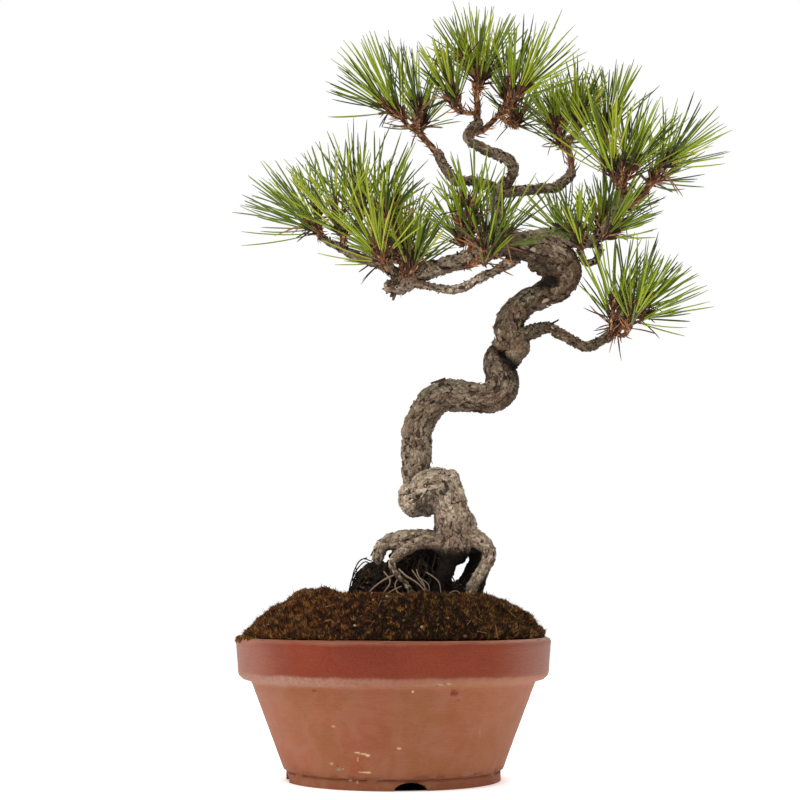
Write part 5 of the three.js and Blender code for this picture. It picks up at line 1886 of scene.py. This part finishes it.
# %% Grow the brushes
# The shade tone is a painted shade: a darker copy of the green that stands in for needles in shadow, dealt at
# random like the others.
needle_tones = finishes("needle", [
    ("bright", (152, 168, 28), 0.5, 0.3),
    ("fresh", (128, 145, 25), 0.5, 0.3),
    ("deep", (88, 106, 22), 0.5, 0.3),
    ("shade", (55, 68, 18), 0.55, 0.25),
    ("yellow", (178, 181, 58), 0.5, 0.3),
    ("foot", (104, 108, 34), 0.5, 0.3),
    ("tip", (96, 100, 48), 0.55, 0.25),
])
FOOT_TONE, TIP_TONE = 5, 6
sheath, sheath_faces = pattern_of(spike(6, 0.75, 1))
sheath_tones = finishes("sheath", [
    ("dark", (52, 36, 26), 0.8),
    ("brown", (88, 58, 38), 0.8),
    ("rust", (116, 70, 46), 0.8),
])
brush = {"pairs": 20, "narrow": 5, "wide": 50, "widening": 0.8, "lift": 0.16, "split": 0.1, "width": 1.24}
sheath_share = 0.7
pair_gap = 0.3
tone_shares = (4.8, 4.8, 4.6, 2.6, 1.2)

# How thick the needles stand in each part of the crown, as the photo shows it.
fullness_of = {"left": 0.74, "centre": 0.42, "top": 0.98, "right": 0.98, "back": 1.0, "lower_right": 0.58}


def grown_brush(foot, aim, length, fullness, chance):
    """The pairs of one brush: where each starts, the way it points and its length."""
    foot, aim = np.array(foot, float), unit(np.array(aim, float))
    count = round(brush["pairs"] * fullness * chance.uniform(0.85, 1.15))
    share = (np.arange(count) + 0.5) / count
    lean = np.radians(brush["narrow"] + (brush["wide"] - brush["narrow"]) * share ** brush["widening"])
    lean = lean * chance.uniform(0.85, 1.15) + chance.normal(0, 0.09, count)
    across = unit(np.cross(np.array([0.3, 1, 0.2]), aim))
    over = np.cross(aim, across)
    turn = GOLDEN * np.arange(count) + chance.normal(0, 0.3, count) + chance.random() * 6
    out = across * np.cos(turn)[:, None] + over * np.sin(turn)[:, None]
    ways = aim * np.cos(lean)[:, None] + out * np.sin(lean)[:, None]
    ways[:, 2] += brush["lift"]
    roots = foot - aim * (foot_length * share)[:, None] + out * 1.3
    lengths = length * (1 - 0.26 * chance.random(count) ** 1.5)
    return roots, unit(ways), out, lengths


for number, (region, names) in enumerate(regions.items()):
    chance = np.random.default_rng(90 + number)
    full = fullness_of[region]
    rows = [grown_brush(*one[:3], one[3] * full, chance) for name in names for one in all_brushes[name]]
    roots, ways, outs, lengths = [np.concatenate(part) for part in zip(*rows)]
    spray = np.repeat(np.arange(len(rows)), [len(row[0]) for row in rows])
    count = len(roots)
    sheath_long = chance.uniform(5.0, 8.5, count)
    sheath_sizes = np.stack([np.full(count, 0.95), np.full(count, 0.8), sheath_long], axis=1)
    copies = stood_up(sheath, roots, ways, sheath_sizes, chance.random(count) * 6.3)
    tones = chance.choice(3, count, p=[0.5, 0.32, 0.18])
    sheaths = repeated(f"sheaths_{region}", sheath_faces, copies, tones, sheath_tones)
    apart = unit(np.cross(ways, chance.normal(0, 1, ways.shape)))
    split = brush["split"] * chance.uniform(0.5, 1.5, (count, 1))
    starts = np.repeat(roots + ways * sheath_long[:, None] * sheath_share, 2, axis=0)
    starts[::2] += apart * pair_gap
    starts[1::2] -= apart * pair_gap
    pair_ways = np.repeat(ways, 2, axis=0)
    pair_ways[::2] += apart * split
    pair_ways[1::2] -= apart * split
    pair_ways = unit(pair_ways)
    bends = np.repeat(outs * 0.035, 2, axis=0) + chance.normal(0, 0.045, (2 * count, 3))
    bends[:, 2] += np.where(pair_ways[:, 2] < 0.25, 0.11, -0.015)
    needle_lengths = np.repeat(lengths - sheath_long * sheath_share, 2) * chance.uniform(0.95, 1.0, 2 * count)
    copies = bent_needles(starts, pair_ways, bends, needle_lengths, brush["width"])
    mood = chance.dirichlet(tone_shares, len(rows))
    odds = np.cumsum(mood[spray], axis=1)
    tone = np.repeat((chance.random(count)[:, None] > odds).sum(axis=1).clip(0, 4), 2)
    tones = np.repeat(tone[:, None], len(strand_faces), axis=1)
    tones[:, face_share < 0.08] = FOOT_TONE
    tones[:, face_share > 0.97] = TIP_TONE
    needles = repeated(f"foliage_{region}", strand_faces, copies, tones, needle_tones)
    for piece in (sheaths, needles):
        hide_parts(*names)
        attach(piece, "root")

# %% [markdown]
# A few dead needles stay caught on the shoots below each brush. They are the same strand, thinner,
# shorter and more bent, in three browns.

# %% Hang the dead needles
dead_needle = {"each": 3, "length": (7, 22), "width": 0.95}
chance = np.random.default_rng(99)
starts, ways, pulls = [], [], []
for name in masses:
    for route in shoot_lines[name][1:]:
        line = walked(route, 1.0)
        along, side, over = across_of(line)
        for place_along in chance.integers(len(line) // 3, len(line) - 2, dead_needle["each"]):
            turn = chance.random() * 2 * math.pi
            out = side[place_along] * math.cos(turn) + over[place_along] * math.sin(turn)
            starts.append(line[place_along, :3] + out)
            ways.append(unit(out + along[place_along] * chance.uniform(-0.3, 1.1)))
            pulls.append(chance.normal(0, 0.14, 3) - [0, 0, chance.uniform(0, 0.16)])
starts = np.repeat(starts, 2, axis=0)
ways = unit(np.repeat(ways, 2, axis=0) + chance.normal(0, 0.1, (len(starts), 3)))
lengths = chance.uniform(*dead_needle["length"], len(starts))
copies = bent_needles(starts, ways, np.repeat(pulls, 2, axis=0), lengths, dead_needle["width"])
dead_tones = finishes("dead", [
    ("tan", (158, 112, 78), 0.8),
    ("brown", (112, 72, 52), 0.8),
    ("dark", (66, 44, 36), 0.8),
])
tones = np.repeat(chance.choice(3, len(starts) // 2, p=[0.3, 0.4, 0.3]), 2)
dead = repeated("dead_needles", strand_faces, copies, tones, dead_tones)
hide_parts(*masses)
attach(dead, "root")
print("dead needles:", len(starts))

# %% [markdown]
# ## Finish
#
# The box of the dressed bonsai is kept beside the box of its solids, because the two have to agree.

# %% Keep the sizes and finish
shown_low, shown_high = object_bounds()
sizes = {"cad": [list(cad_low), list(cad_high)], "shown": [list(shown_low), list(shown_high)]}
print("the bonsai is", [round(float(b - a), 3) for a, b in zip(shown_low, shown_high)], "m")
